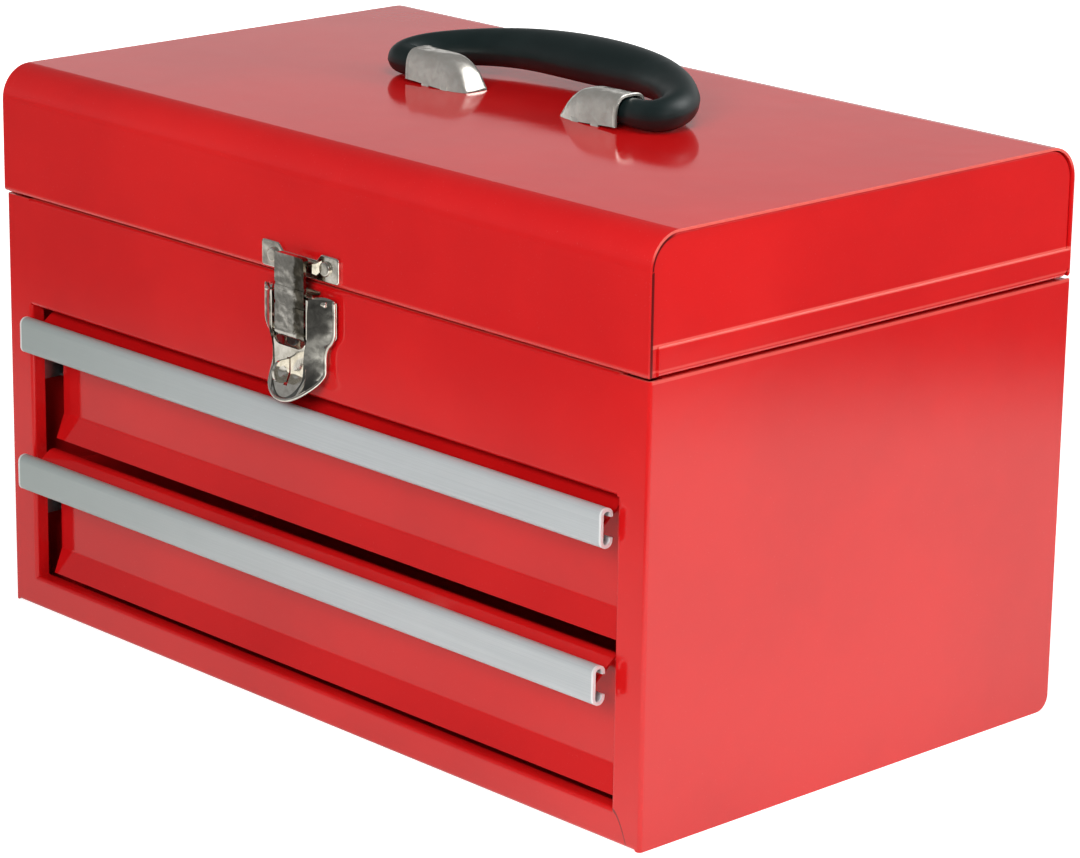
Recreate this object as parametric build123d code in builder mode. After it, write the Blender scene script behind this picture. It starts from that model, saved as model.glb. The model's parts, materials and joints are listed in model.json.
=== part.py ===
"""Portable steel tool box with a hinged lid, a top compartment and two drawers.

Frame: millimetres, +Z up, +X to the right and the front towards -Y. The origin is the
middle of the case's underside.
"""
from build123d import *
import math
import os

os.makedirs("parts", exist_ok=True)

# ---------------------------------------------------------------- sizes ----
# case and lid
WIDTH = 360.0             # over the side panels
DEPTH = 217.0             # front plane to back plane of the case
CASE_HEIGHT = 168.5       # underside to the case's top edge
LID_HEIGHT = 49.7         # lid's bottom edge to its top
LID_SEAM = 1.0            # gap between case and lid
LID_OVERHANG = 1.0        # the lid's front stands this far ahead of the case
LID_CORNER_R = 13.0       # front and back roundover of the lid
SHEET = 1.0               # painted steel sheet
BEND_R = 1.5              # outer radius of a fold
BACK_CORNER_R = 6.0       # fold between the bottom and the back
STILE = 14.5              # width of the front stile
RAIL_HEIGHT = 12.5        # height of the bottom rail
PANEL_HEIGHT = 43.0       # height of the fixed front panel above the drawers
JAMB = 6.0                # depth of the returns around the drawer opening
FLANGE = 12.0             # width of the welded inner flanges
RIM = 6.0                 # width of the folded top rims
LAP = 5.5                 # how far a lap strap covers the front panel
END_BAND = 10.5           # height of the joggled band along each lid end
END_STEP = 0.8            # depth of that joggle
END_FLANGE = 8.0          # welded flange of the lid end, under the wrap
END_SHEET = 0.8
END_EDGE_R = 1.2          # pressed edge around each lid end
LID_CUT = 3.0             # corner cut at the back of each lid end
FIT = 0.3                 # clearance between bodies that pass each other
HOLE_FIT = 0.05           # radial clearance of a pin or a rivet in its hole

# drawers
PULL_DROP = 3.8           # upper pull's top below the top of the drawers' opening
DRAWER_SPARE = 1.0        # height of the opening that the two drawers leave free
PULL_HEIGHT = 14.3
PULL_DEPTH = 5.6
PULL_WALL = 1.2
PULL_GAP = 1.0            # pull's end to the edge of the opening
PULL_LIP = 3.4
PULL_CORNER_R = 2.6
PULL_STAND = 0.8          # the upper pull's back ahead of the case's front
LOWER_AJAR = 2.3          # the lower drawer rests this far open
FRONT_GAP = 4.0           # end of a drawer's front to the edge of the opening
FRONT_SHEET = 0.9
FRONT_SETBACK = 18.5      # pull face to drawer wall
FRONT_CREST = 0.6         # the wall's crest above the pull
FRONT_SLOPE = 37.0        # fall of the flange towards the pull, in degrees
CREST_R = 3.5
FRONT_LIP = 9.8           # height of the slanted bottom lip
FRONT_LIP_OUT = 4.0
FRONT_SHORT = 3.9         # how much less than its share of the opening a front is high
TRAY_GAP = 7.5            # tray's side to the edge of the opening
TRAY_SHEET = 0.8
TRAY_REAR_GAP = 10.0      # closed tray's back to the case's back plane
TRAY_SHORT = 8.1          # how much lower than the front the tray is
TRAY_RAISE = 3.0          # tray's bottom above the lip's bottom
TRAY_R = 1.5
SLIDE_SHEET = 0.9
SLIDE_HEIGHT = 10.5
SLIDE_SHORT = 6.0         # how much shorter than the tray a slide is
SLIDE_SIDE_FIT = 0.5      # slide's edge to the edge of the opening
SLIDE_FIT = 0.35
RUNNER_OPEN = 1.1         # runner's edges to the slide's web
RUNNER_TAB_GAP = 2.5      # runner's tabs to the side panel

# piano hinge
HINGE_INSET = 11.0        # hinge's end to the case's side
HINGE_LEAF = 0.8
HINGE_WIDTH = 16.0
HINGE_KNUCKLES = 13
HINGE_BARREL_R = 2.3
HINGE_PIN_R = 1.4
HINGE_RIVETS = 5

# rivets
RIVET_R = 1.5
RIVET_HEAD_R = 2.8
RIVET_HEAD = 1.1

# latch, centred at LATCH_X
LATCH_X = 1.8
STRIKE_HALF = 21.5
STRIKE_HEIGHT = 10.0
STRIKE_RAISE = 1.4        # strike's bottom above the lid's bottom edge
STRIKE_PLATE = 1.4
STRIKE_EAR = 2.6          # ears above the middle of the strike
STRIKE_EAR_R = 1.4
CHANNEL_HALF = 9.4
LIP_HEIGHT = 3.5
LIP_OUT = 3.4
LIP_RAISE = 2.8
PLATE = 1.2
BASE_TOP = 2.0            # base's top edge below the case's top edge
BASE_HEIGHT = 25.0
BASE_TAIL_HALF = 5.0      # narrow part of the base that carries the staple
EAR = 1.2
EAR_R = 2.1               # rounded end of each ear about the pin
EAR_DROP = 12.5           # how far an ear reaches below the pin
EAR_GAP = 1.0             # link's edge to the inside of each ear
LEVER_AXIS_OUT = 3.9
LEVER_AXIS_DROP = 5.2     # below the case's top edge
LEVER_HALF = 19.7         # over the lever's rim, next to the case
LEVER_WALL = 1.0
LEVER_FLARE_WALL = 1.3    # its sloping walls, measured across the case
LEVER_FIT = 0.5           # base's ears to the inside of the lever's face
LEVER_BACK = 1.5          # its rim ahead of the case's front
LEVER_TOP_R = 2.4
LEVER_TOP = 1.0           # top of its face above the axis
LEVER_WIDE = 12.5         # how far its full width reaches below the axis
RIM_TONGUE_HALF = 14.2    # lower part of the rim
FACE_TONGUE_HALF = 8.6    # lower part of the face
TONGUE_LENGTH = 27.0      # axis to where the finger tab flares
TONGUE_R = 6.0
SHOULDER_R = 2.0
TAB_HALF = 9.4
TAB_LENGTH = 10.6
TAB_FLARE = 4.4
WINDOW_HALF = 9.6
WINDOW_LENGTH = 18.4
WINDOW_R = 5.0
STAPLE = 1.2              # padlock staple's sheet
STAPLE_OUT = 7.5          # staple's edge ahead of the lever's face
STAPLE_HEIGHT = 8.6
STAPLE_DROP = 27.0        # lever's axis to the middle of the staple
STAPLE_R = 4.0
STAPLE_HOLE_R = 2.2
SLOT_FIT = 0.4            # staple to the sides of its slot in the lever
PIN_R = 1.25
PIN_PROUD = 1.0           # lever's pin past the sloping walls
LINK_PIN_R = 1.25
LINK_AXIS_DROP = 13.3     # link's pin below the lever's pin
LINK_AXIS_OUT = 1.1
LINK_BARREL_R = 2.4
LINK_HALF = 8.2
LINK_SHEET = 1.2
LINK_LENGTH = 29.2
LINK_HOOK = 1.2
LINK_HOOK_HEIGHT = 1.8
LINK_GROOVE = 0.4         # depth of the pressed grooves across the link
LINK_GROOVES = [0.36, 0.6]

# handle, centred at HANDLE_X
HANDLE_X = -0.3
HANDLE_Y = 1.0            # handle's axis from the middle of the depth
GRIP_LIFT = 0.8           # grip's root above the lid
GRIP_FIT = 0.6            # grip's root to the inside of its cap
GRIP_IN_CAP = 12.0
GRIP_ARM = 13.2           # grip's arms outside the caps' mouths
GRIP_REACH = 38.8         # axis to the middle of the grip
HANDLE_TILT = 7.6         # folded handle's rise, in degrees
CAP_MOUTH = 58.0
CAP_LENGTH = 32.0
CAP_WIDTH = 16.5
CAP_HEIGHT = 13.0
CAP_SHEET = 1.0
CAP_CORNER_R = 6.3        # roundover along the cap
CAP_FLAT = 12.5           # length of the level crest behind the mouth
CAP_FALL = 1.3            # how far the crest falls before the nose's slope
CAP_SLOPE = 10.0          # length of the nose's slope
CAP_BEND_R = 6.0
NOSE_HEIGHT = 2.4
NOSE_WIDTH = 6.0
NOSE_PLAN = 7.0           # how far the nose narrows in plan
NOSE_R = 3.5
FOOT_RISE = 1.2           # the cap's lower edge above the lid at its mouth
TAB_WIDTH = 4.0
TAB_PLACES = [0.35, 0.68]  # tabs along the cap, from its mouth
SADDLE_LENGTH = 6.0
SADDLE_GAP = 0.5
ROD_R = 3.0
ROD_IN_GRIP = 10.0
ROD_PAST = 1.2            # rod's end past its saddle

# ------------------------------------------------------- derived places ----
HALF = WIDTH / 2
FRONT = -DEPTH / 2
BACK = DEPTH / 2
OPEN_HALF = HALF - STILE
OPEN_TOP = CASE_HEIGHT - PANEL_HEIGHT
UPPER_PULL_TOP = OPEN_TOP - PULL_DROP
DRAWER_PITCH = (OPEN_TOP - RAIL_HEIGHT - DRAWER_SPARE) / 2
PULL_HALF = OPEN_HALF - PULL_GAP
PULL_PROUD = PULL_DEPTH + PULL_STAND
FRONT_HALF = OPEN_HALF - FRONT_GAP
FRONT_HEIGHT = DRAWER_PITCH - FRONT_SHORT
TRAY_HALF = OPEN_HALF - TRAY_GAP
TRAY_START = FRONT - PULL_PROUD + FRONT_SETBACK + FRONT_SHEET
TRAY_DEPTH = BACK - TRAY_REAR_GAP - TRAY_START
TRAY_HEIGHT = FRONT_HEIGHT - TRAY_SHORT
SLIDE_LENGTH = TRAY_DEPTH - SLIDE_SHORT
SLIDE_ABOVE = TRAY_HEIGHT / 2
SLIDE_HALF = OPEN_HALF - SLIDE_SIDE_FIT
HINGE_HALF = HALF - HINGE_INSET
HINGE_OFF = HINGE_BARREL_R + FIT
HINGE_RIVET_X = [(n - (HINGE_RIVETS - 1) / 2) * 2 * HINGE_HALF / HINGE_RIVETS for n in range(HINGE_RIVETS)]
HINGE_RIVET_UP = HINGE_WIDTH * 0.62
LID_BOTTOM = CASE_HEIGHT + LID_SEAM
LID_TOP = LID_BOTTOM + LID_HEIGHT
LID_FRONT = FRONT - LID_OVERHANG
HINGE_Y = BACK + HINGE_OFF
HINGE_Z = CASE_HEIGHT + LID_SEAM / 2
FLOOR_Z = OPEN_TOP + SHEET
LEVER_Z = CASE_HEIGHT - LEVER_AXIS_DROP
LEVER_Y = FRONT - LEVER_AXIS_OUT
LINK_Z = LEVER_Z - LINK_AXIS_DROP
LINK_Y = LEVER_Y - LINK_AXIS_OUT
STRIKE_BOTTOM = LID_BOTTOM + STRIKE_RAISE
STRIKE_RIVET_X = STRIKE_HALF * 0.68
BASE_HALF = LINK_HALF + EAR_GAP + EAR
BASE_LOW = CASE_HEIGHT - BASE_TOP - BASE_HEIGHT
BASE_RIVET_X = BASE_HALF / 2
BASE_RIVET_Z = BASE_LOW + 4.5
LEVER_FACE = LEVER_AXIS_OUT + EAR_R + LEVER_FIT + LEVER_WALL
FACE_HALF = WINDOW_HALF + LEVER_WALL
STAPLE_Z = LEVER_Z - STAPLE_DROP
PIN_HALF = LEVER_HALF - (LEVER_HALF - FACE_HALF) * (LEVER_AXIS_OUT - LEVER_BACK) / (LEVER_FACE - LEVER_BACK) + PIN_PROUD
GRIP_ROOT_R = (CAP_HEIGHT - CAP_SHEET - GRIP_FIT - GRIP_LIFT) / 2
AXIS_UP = GRIP_LIFT + GRIP_ROOT_R
GRIP_END = CAP_MOUTH - GRIP_IN_CAP
GRIP_HALF = CAP_MOUTH + GRIP_ARM

# half of the grip's path: along the axis, out from the axis, half width, half thickness
GRIP_PATH = [
    (GRIP_END, 0.0, GRIP_ROOT_R, GRIP_ROOT_R),
    ((GRIP_END + CAP_MOUTH) / 2, 0.0, GRIP_ROOT_R, GRIP_ROOT_R),
    (CAP_MOUTH, 0.0, GRIP_ROOT_R, GRIP_ROOT_R),
    (CAP_MOUTH + 6.5, 0.0, GRIP_ROOT_R + 0.5, GRIP_ROOT_R + 0.2),
    (GRIP_HALF - 1.6, 1.8, 6.5, 5.9),
    (GRIP_HALF, 6.6, 6.9, 6.3),
    (GRIP_HALF - 2.0, 13.2, 7.1, 6.6),
    (GRIP_HALF - 7.0, GRIP_REACH - 19.2, 7.2, 6.8),
    (GRIP_HALF - 15.0, GRIP_REACH - 12.8, 7.7, 7.1),
    (GRIP_HALF - 25.7, GRIP_REACH - 6.8, 8.6, 7.5),
    (GRIP_HALF - 39.2, GRIP_REACH - 2.4, 10.0, 8.0),
    ((GRIP_HALF - 39.2) / 2, GRIP_REACH - 0.4, 11.6, 8.5),
    (0.0, GRIP_REACH, 12.3, 8.7),
]


def slab(x, y, z, mode=Mode.ADD):
    """A block between pairs of coordinates."""
    with Locations(((x[0] + x[1]) / 2, (y[0] + y[1]) / 2, (z[0] + z[1]) / 2)):
        Box(abs(x[1] - x[0]), abs(y[1] - y[0]), abs(z[1] - z[0]), mode=mode)


def pair(side, a, b):
    """Two distances from the middle, on one side of the object."""
    return (side * a, side * b)


def fold(plane, points, radii, thickness, side):
    """A folded sheet's section on a plane, drawn from its outer line."""
    with BuildSketch(plane) as section:
        with BuildLine():
            FilletPolyline(*points, radius=radii)
            offset(amount=thickness, side=side)
        make_face()
    return section.sketch


def save(piece, name):
    piece.part.label = name
    export_step(piece.part, f"parts/{name}.step")


def rod(centre, radius, length, axis, mode=Mode.ADD):
    """A cylinder about a point, along X or Y."""
    turn = (0, 90, 0) if axis == "x" else (90, 0, 0)
    with Locations(Location(centre, turn)):
        Cylinder(radius, length, mode=mode)


# ------------------------------------------------------------------ case ----
def case_side(side, name):
    """Side panel: web, front stile with its jamb, and the welded flanges."""
    corner = Side.LEFT if side > 0 else Side.RIGHT
    with BuildPart() as panel:
        section = fold(
            Plane.XY,
            [
                (side * OPEN_HALF, FRONT + JAMB),
                (side * OPEN_HALF, FRONT),
                (side * HALF, FRONT),
                (side * HALF, BACK - SHEET),
                (side * (HALF - FLANGE), BACK - SHEET),
            ],
            BEND_R,
            SHEET,
            corner,
        )
        extrude(section, amount=CASE_HEIGHT)
        # the web runs on to the back plane, past the flange
        slab(pair(side, HALF - SHEET, HALF), (BACK - 2 * SHEET - BEND_R, BACK), (0, CASE_HEIGHT))
        # bottom flange on the bottom sheet, rim along the top
        slab(
            pair(side, HALF - FLANGE, HALF - SHEET / 2),
            (FRONT + 2 * SHEET, BACK - BACK_CORNER_R - SHEET),
            (SHEET, 2 * SHEET),
        )
        slab(
            pair(side, HALF - SHEET - RIM, HALF - SHEET / 2),
            (FRONT + SHEET + RIM, BACK - SHEET - RIM),
            (CASE_HEIGHT - SHEET, CASE_HEIGHT),
        )
        # no jamb behind the rail or the front panel
        jamb_x = pair(side, OPEN_HALF - SHEET, OPEN_HALF + 2 * SHEET)
        slab(jamb_x, (FRONT + SHEET, FRONT + JAMB + SHEET), (-SHEET, RAIL_HEIGHT), Mode.SUBTRACT)
        slab(jamb_x, (FRONT + SHEET, FRONT + JAMB + SHEET), (OPEN_TOP, CASE_HEIGHT + SHEET), Mode.SUBTRACT)
        # a square edge where the stile meets the front panel
        slab(
            pair(side, OPEN_HALF, OPEN_HALF + BEND_R + SHEET),
            (FRONT, FRONT + SHEET),
            (OPEN_TOP, CASE_HEIGHT),
        )
        # the inner flange stays clear of the bottom's curve and the back's rim
        flange_x = pair(side, HALF - FLANGE - SHEET, HALF - SHEET)
        slab(flange_x, (BACK - 2 * SHEET - BEND_R, BACK), (-SHEET, BACK_CORNER_R + SHEET), Mode.SUBTRACT)
        slab(
            flange_x,
            (BACK - 2 * SHEET - BEND_R, BACK),
            (CASE_HEIGHT - SHEET - BEND_R, CASE_HEIGHT + SHEET),
            Mode.SUBTRACT,
        )
        # mitre with the bottom rail
        with BuildSketch(Plane.XZ.offset(-FRONT - 2 * SHEET)):
            with BuildLine():
                Polyline(
                    (side * (OPEN_HALF - SHEET), RAIL_HEIGHT),
                    (side * OPEN_HALF, RAIL_HEIGHT),
                    (side * (OPEN_HALF + RAIL_HEIGHT), 0),
                    (side * (OPEN_HALF + RAIL_HEIGHT), -SHEET),
                    (side * (OPEN_HALF - SHEET), -SHEET),
                    close=True,
                )
            make_face()
        extrude(amount=4 * SHEET, mode=Mode.SUBTRACT)
        # the corner follows the fold between the bottom and the back
        with BuildSketch(Plane.YZ.offset(side * (HALF - 2 * SHEET))):
            with Locations((BACK, 0)):
                Rectangle(2 * BACK_CORNER_R, 2 * BACK_CORNER_R)
            with Locations((BACK - BACK_CORNER_R, BACK_CORNER_R)):
                Circle(BACK_CORNER_R, mode=Mode.SUBTRACT)
        extrude(amount=side * 3 * SHEET, mode=Mode.SUBTRACT)
    save(panel, name)


case_side(-1, "case_side_left")
case_side(1, "case_side_right")

# bottom rail, bottom and back in one folded sheet
with BuildPart() as case_wrap:
    section = fold(
        Plane.YZ.offset(-HALF + SHEET),
        [
            (FRONT + JAMB, RAIL_HEIGHT),
            (FRONT, RAIL_HEIGHT),
            (FRONT, 0),
            (BACK, 0),
            (BACK, CASE_HEIGHT),
            (BACK - RIM, CASE_HEIGHT),
        ],
        [BEND_R, BEND_R, BACK_CORNER_R, BEND_R],
        SHEET,
        Side.LEFT,
    )
    extrude(section, amount=WIDTH - 2 * SHEET)
    for side in (-1, 1):
        with BuildSketch(Plane.XZ.offset(-FRONT + SHEET)):
            with BuildLine():
                Polyline(
                    (side * OPEN_HALF, RAIL_HEIGHT + SHEET),
                    (side * OPEN_HALF, RAIL_HEIGHT),
                    (side * (OPEN_HALF + RAIL_HEIGHT), 0),
                    (side * (HALF + SHEET), 0),
                    (side * (HALF + SHEET), RAIL_HEIGHT + SHEET),
                    close=True,
                )
            make_face()
        extrude(amount=-(JAMB + 2 * SHEET), mode=Mode.SUBTRACT)
    for x in HINGE_RIVET_X:
        rod((x, BACK, HINGE_Z - HINGE_RIVET_UP), RIVET_R + HOLE_FIT, 4 * SHEET, "y", Mode.SUBTRACT)
save(case_wrap, "case_wrap")

# fixed front panel above the drawers, with a lap strap behind each stile
with BuildPart() as case_front_panel:
    section = fold(
        Plane.YZ.offset(-OPEN_HALF),
        [
            (FRONT + SHEET + RIM, OPEN_TOP),
            (FRONT, OPEN_TOP),
            (FRONT, CASE_HEIGHT),
            (FRONT + SHEET + RIM, CASE_HEIGHT),
        ],
        BEND_R,
        SHEET,
        Side.RIGHT,
    )
    extrude(section, amount=2 * OPEN_HALF)
    for side in (-1, 1):
        slab(
            pair(side, OPEN_HALF - LAP, HALF - 2 * SHEET),
            (FRONT + SHEET, FRONT + 2 * SHEET),
            (OPEN_TOP + 4 * SHEET, CASE_HEIGHT - 3 * SHEET),
        )
    for side in (-1, 1):
        rod((LATCH_X + side * BASE_RIVET_X, FRONT, BASE_RIVET_Z), RIVET_R + HOLE_FIT, 6 * SHEET, "y", Mode.SUBTRACT)
save(case_front_panel, "case_front_panel")

# floor of the top compartment
with BuildPart() as compartment_floor:
    slab(
        (-HALF + SHEET, HALF - SHEET),
        (FRONT + 2 * SHEET, BACK - 2 * SHEET - BEND_R),
        (FLOOR_Z, FLOOR_Z + SHEET),
    )
    slab(
        (-HALF + FLANGE + SHEET, HALF - FLANGE - SHEET),
        (BACK - 2 * SHEET - BEND_R, BACK - SHEET),
        (FLOOR_Z, FLOOR_Z + SHEET),
    )
    for side in (-1, 1):
        slab(
            pair(side, HALF - 2 * SHEET, HALF - SHEET),
            (FRONT + FLANGE, BACK - FLANGE),
            (FLOOR_Z, FLOOR_Z + FLANGE),
        )
    slab(
        (-HALF + FLANGE + SHEET, HALF - FLANGE - SHEET),
        (BACK - 2 * SHEET, BACK - SHEET),
        (FLOOR_Z, FLOOR_Z + FLANGE),
    )
save(compartment_floor, "compartment_floor")


# --------------------------------------------------------------- drawers ----
def drawer_places(drop, ahead):
    """Heights and depths of one drawer, from its pull."""
    pull_top = UPPER_PULL_TOP - drop
    face = FRONT - PULL_PROUD - ahead
    crest = pull_top + FRONT_CREST
    wall = face + FRONT_SETBACK
    lip_bottom = crest - FRONT_HEIGHT
    tray_bottom = lip_bottom + TRAY_RAISE
    return pull_top, face, crest, wall, lip_bottom, tray_bottom


def drawer_front(prefix, drop, ahead):
    """Folded drawer front: slanted lip, wall, crest and the flange inside the pull."""
    pull_top, face, crest, wall, lip_bottom, tray_bottom = drawer_places(drop, ahead)
    slope = math.radians(FRONT_SLOPE)
    # the fold's lower face runs tangent to the crest's inner arc
    corner_z = crest - FRONT_SHEET - CREST_R + CREST_R * (1 + math.sin(slope)) / math.cos(slope)
    lip_y = face + PULL_DEPTH - PULL_WALL
    lip_z = corner_z - (wall - lip_y) * math.tan(slope)
    with BuildPart() as front:
        section = fold(
            Plane.YZ.offset(-FRONT_HALF),
            [
                (wall - FRONT_LIP_OUT, lip_bottom),
                (wall, lip_bottom + FRONT_LIP),
                (wall, corner_z),
                (lip_y, lip_z),
                (lip_y, pull_top - PULL_HEIGHT + PULL_CORNER_R + FIT),
            ],
            [3 * SHEET, CREST_R, FRONT_SHEET / 2],
            FRONT_SHEET,
            Side.RIGHT,
        )
        extrude(section, amount=2 * FRONT_HALF)
    save(front, f"{prefix}_drawer_front")


def drawer_pull(prefix, drop, ahead):
    """Full-width channel clipped over the front's flange."""
    pull_top, face, crest, wall, lip_bottom, tray_bottom = drawer_places(drop, ahead)
    back = face + PULL_DEPTH
    bottom = pull_top - PULL_HEIGHT
    with BuildPart() as pull:
        section = fold(
            Plane.YZ.offset(-PULL_HALF),
            [
                (back, bottom + PULL_LIP),
                (back, bottom),
                (face, bottom),
                (face, pull_top),
                (back, pull_top),
                (back, pull_top - PULL_LIP),
            ],
            PULL_CORNER_R,
            PULL_WALL,
            Side.RIGHT,
        )
        extrude(section, amount=2 * PULL_HALF)
    save(pull, f"{prefix}_drawer_pull")


def drawer_tray(prefix, drop, ahead):
    """Open sheet tray behind the front."""
    pull_top, face, crest, wall, lip_bottom, tray_bottom = drawer_places(drop, ahead)
    start = wall + FRONT_SHEET
    with BuildPart() as tray:
        slab(
            (-TRAY_HALF, TRAY_HALF),
            (start, start + TRAY_DEPTH),
            (tray_bottom, tray_bottom + TRAY_HEIGHT),
        )
        fillet(tray.edges().filter_by(Axis.Z), TRAY_R)
        fillet(tray.faces().sort_by(Axis.Z)[0].edges(), TRAY_R)
        top = tray.faces().sort_by(Axis.Z)[-1]
        offset(amount=-TRAY_SHEET, openings=top)
    save(tray, f"{prefix}_drawer_tray")


def slide_z(tray_bottom):
    return tray_bottom + SLIDE_ABOVE


def drawer_slides(prefix, drop, ahead):
    """The pair of channels on the tray's sides."""
    pull_top, face, crest, wall, lip_bottom, tray_bottom = drawer_places(drop, ahead)
    start = wall + FRONT_SHEET + TRAY_R
    low = slide_z(tray_bottom)
    with BuildPart() as slides:
        for side in (-1, 1):
            x = pair(side, TRAY_HALF, SLIDE_HALF)
            slab(x, (start, start + SLIDE_LENGTH), (low, low + SLIDE_HEIGHT))
            slab(
                pair(side, TRAY_HALF + SLIDE_SHEET, SLIDE_HALF + SHEET),
                (start - SHEET, start + SLIDE_LENGTH + SHEET),
                (low + SLIDE_SHEET, low + SLIDE_HEIGHT - SLIDE_SHEET),
                Mode.SUBTRACT,
            )
    save(slides, f"{prefix}_drawer_slides")


def case_runner(drop, side, name):
    """Channel in the case that holds one drawer slide, with its welded end tabs."""
    # it starts behind the front of the closed drawer
    pull_top, face, crest, wall, lip_bottom, tray_bottom = drawer_places(drop, 0.0)
    low = slide_z(tray_bottom) - SLIDE_FIT - SLIDE_SHEET
    high = low + SLIDE_HEIGHT + 2 * SLIDE_FIT + 2 * SLIDE_SHEET
    inner = TRAY_HALF + SLIDE_SHEET + RUNNER_OPEN
    # its web passes behind the jamb
    outer = OPEN_HALF + SHEET + SLIDE_SHEET
    channel_start = wall + FRONT_SHEET + TRAY_R
    rear = BACK - 2 * SHEET
    with BuildPart() as runner:
        slab(pair(side, inner, outer), (channel_start, rear), (low, high))
        slab(
            pair(side, inner - SHEET, outer - SLIDE_SHEET),
            (channel_start - SHEET, rear + SHEET),
            (low + SLIDE_SHEET, high - SLIDE_SHEET),
            Mode.SUBTRACT,
        )
        # strap and tab keep out of the fold between stile and jamb
        slab(pair(side, outer - SLIDE_SHEET, outer), (FRONT + BEND_R, channel_start), (low, high))
        tab = pair(side, OPEN_HALF + BEND_R, HALF - SHEET - RUNNER_TAB_GAP)
        slab(tab, (FRONT + SHEET, FRONT + SHEET + SLIDE_SHEET), (low, high))
        slab(tab, (rear - SLIDE_SHEET, rear), (low, high))
    save(runner, name)


for prefix, drop, ahead in (("upper", 0.0, 0.0), ("lower", DRAWER_PITCH, LOWER_AJAR)):
    drawer_front(prefix, drop, ahead)
    drawer_pull(prefix, drop, ahead)
    drawer_tray(prefix, drop, ahead)
    drawer_slides(prefix, drop, ahead)
    case_runner(drop, -1, f"{prefix}_runner_left")
    case_runner(drop, 1, f"{prefix}_runner_right")


# ------------------------------------------------------------------- lid ----
# places of the handle caps' tabs, used by the lid's slots too
CAP_TAB_X = [CAP_MOUTH - CAP_LENGTH * share for share in TAB_PLACES]
CAP_TAB_Y = CAP_WIDTH / 2 - CAP_SHEET / 2


def cap_tabs(side):
    """Middles of one cap's tabs in plan, each with the way that it faces."""
    return [
        (HANDLE_X + side * x, HANDLE_Y + way * CAP_TAB_Y, way)
        for x in CAP_TAB_X
        for way in (-1, 1)
    ]


with BuildPart() as lid_wrap:
    section = fold(
        Plane.YZ.offset(-HALF),
        [
            (LID_FRONT + SHEET + RIM, LID_BOTTOM),
            (LID_FRONT, LID_BOTTOM),
            (LID_FRONT, LID_TOP),
            (BACK, LID_TOP),
            (BACK, LID_BOTTOM),
            (BACK - SHEET - RIM, LID_BOTTOM),
        ],
        [BEND_R, LID_CORNER_R, LID_CORNER_R, BEND_R],
        SHEET,
        Side.RIGHT,
    )
    extrude(section, amount=WIDTH)
    # the folded rims stop short of the lid's ends
    for side in (-1, 1):
        slab(
            pair(side, HALF - END_STEP - END_SHEET - END_FLANGE - FIT, HALF + SHEET),
            (LID_FRONT + SHEET, BACK - SHEET),
            (LID_BOTTOM - SHEET, LID_BOTTOM + SHEET + BEND_R),
            Mode.SUBTRACT,
        )
        for x, y, way in cap_tabs(side):
            with Locations((x, y, LID_TOP - SHEET / 2)):
                Box(TAB_WIDTH + 2 * HOLE_FIT, CAP_SHEET + 2 * HOLE_FIT, 2 * SHEET, mode=Mode.SUBTRACT)
    for x in (LATCH_X - STRIKE_RIVET_X, LATCH_X + STRIKE_RIVET_X):
        rod(
            (x, LID_FRONT, STRIKE_BOTTOM + STRIKE_HEIGHT / 2),
            RIVET_R + HOLE_FIT,
            4 * SHEET,
            "y",
            Mode.SUBTRACT,
        )
    for x in HINGE_RIVET_X:
        rod((x, BACK, HINGE_Z + HINGE_RIVET_UP), RIVET_R + HOLE_FIT, 4 * SHEET, "y", Mode.SUBTRACT)
save(lid_wrap, "lid_wrap")


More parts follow.
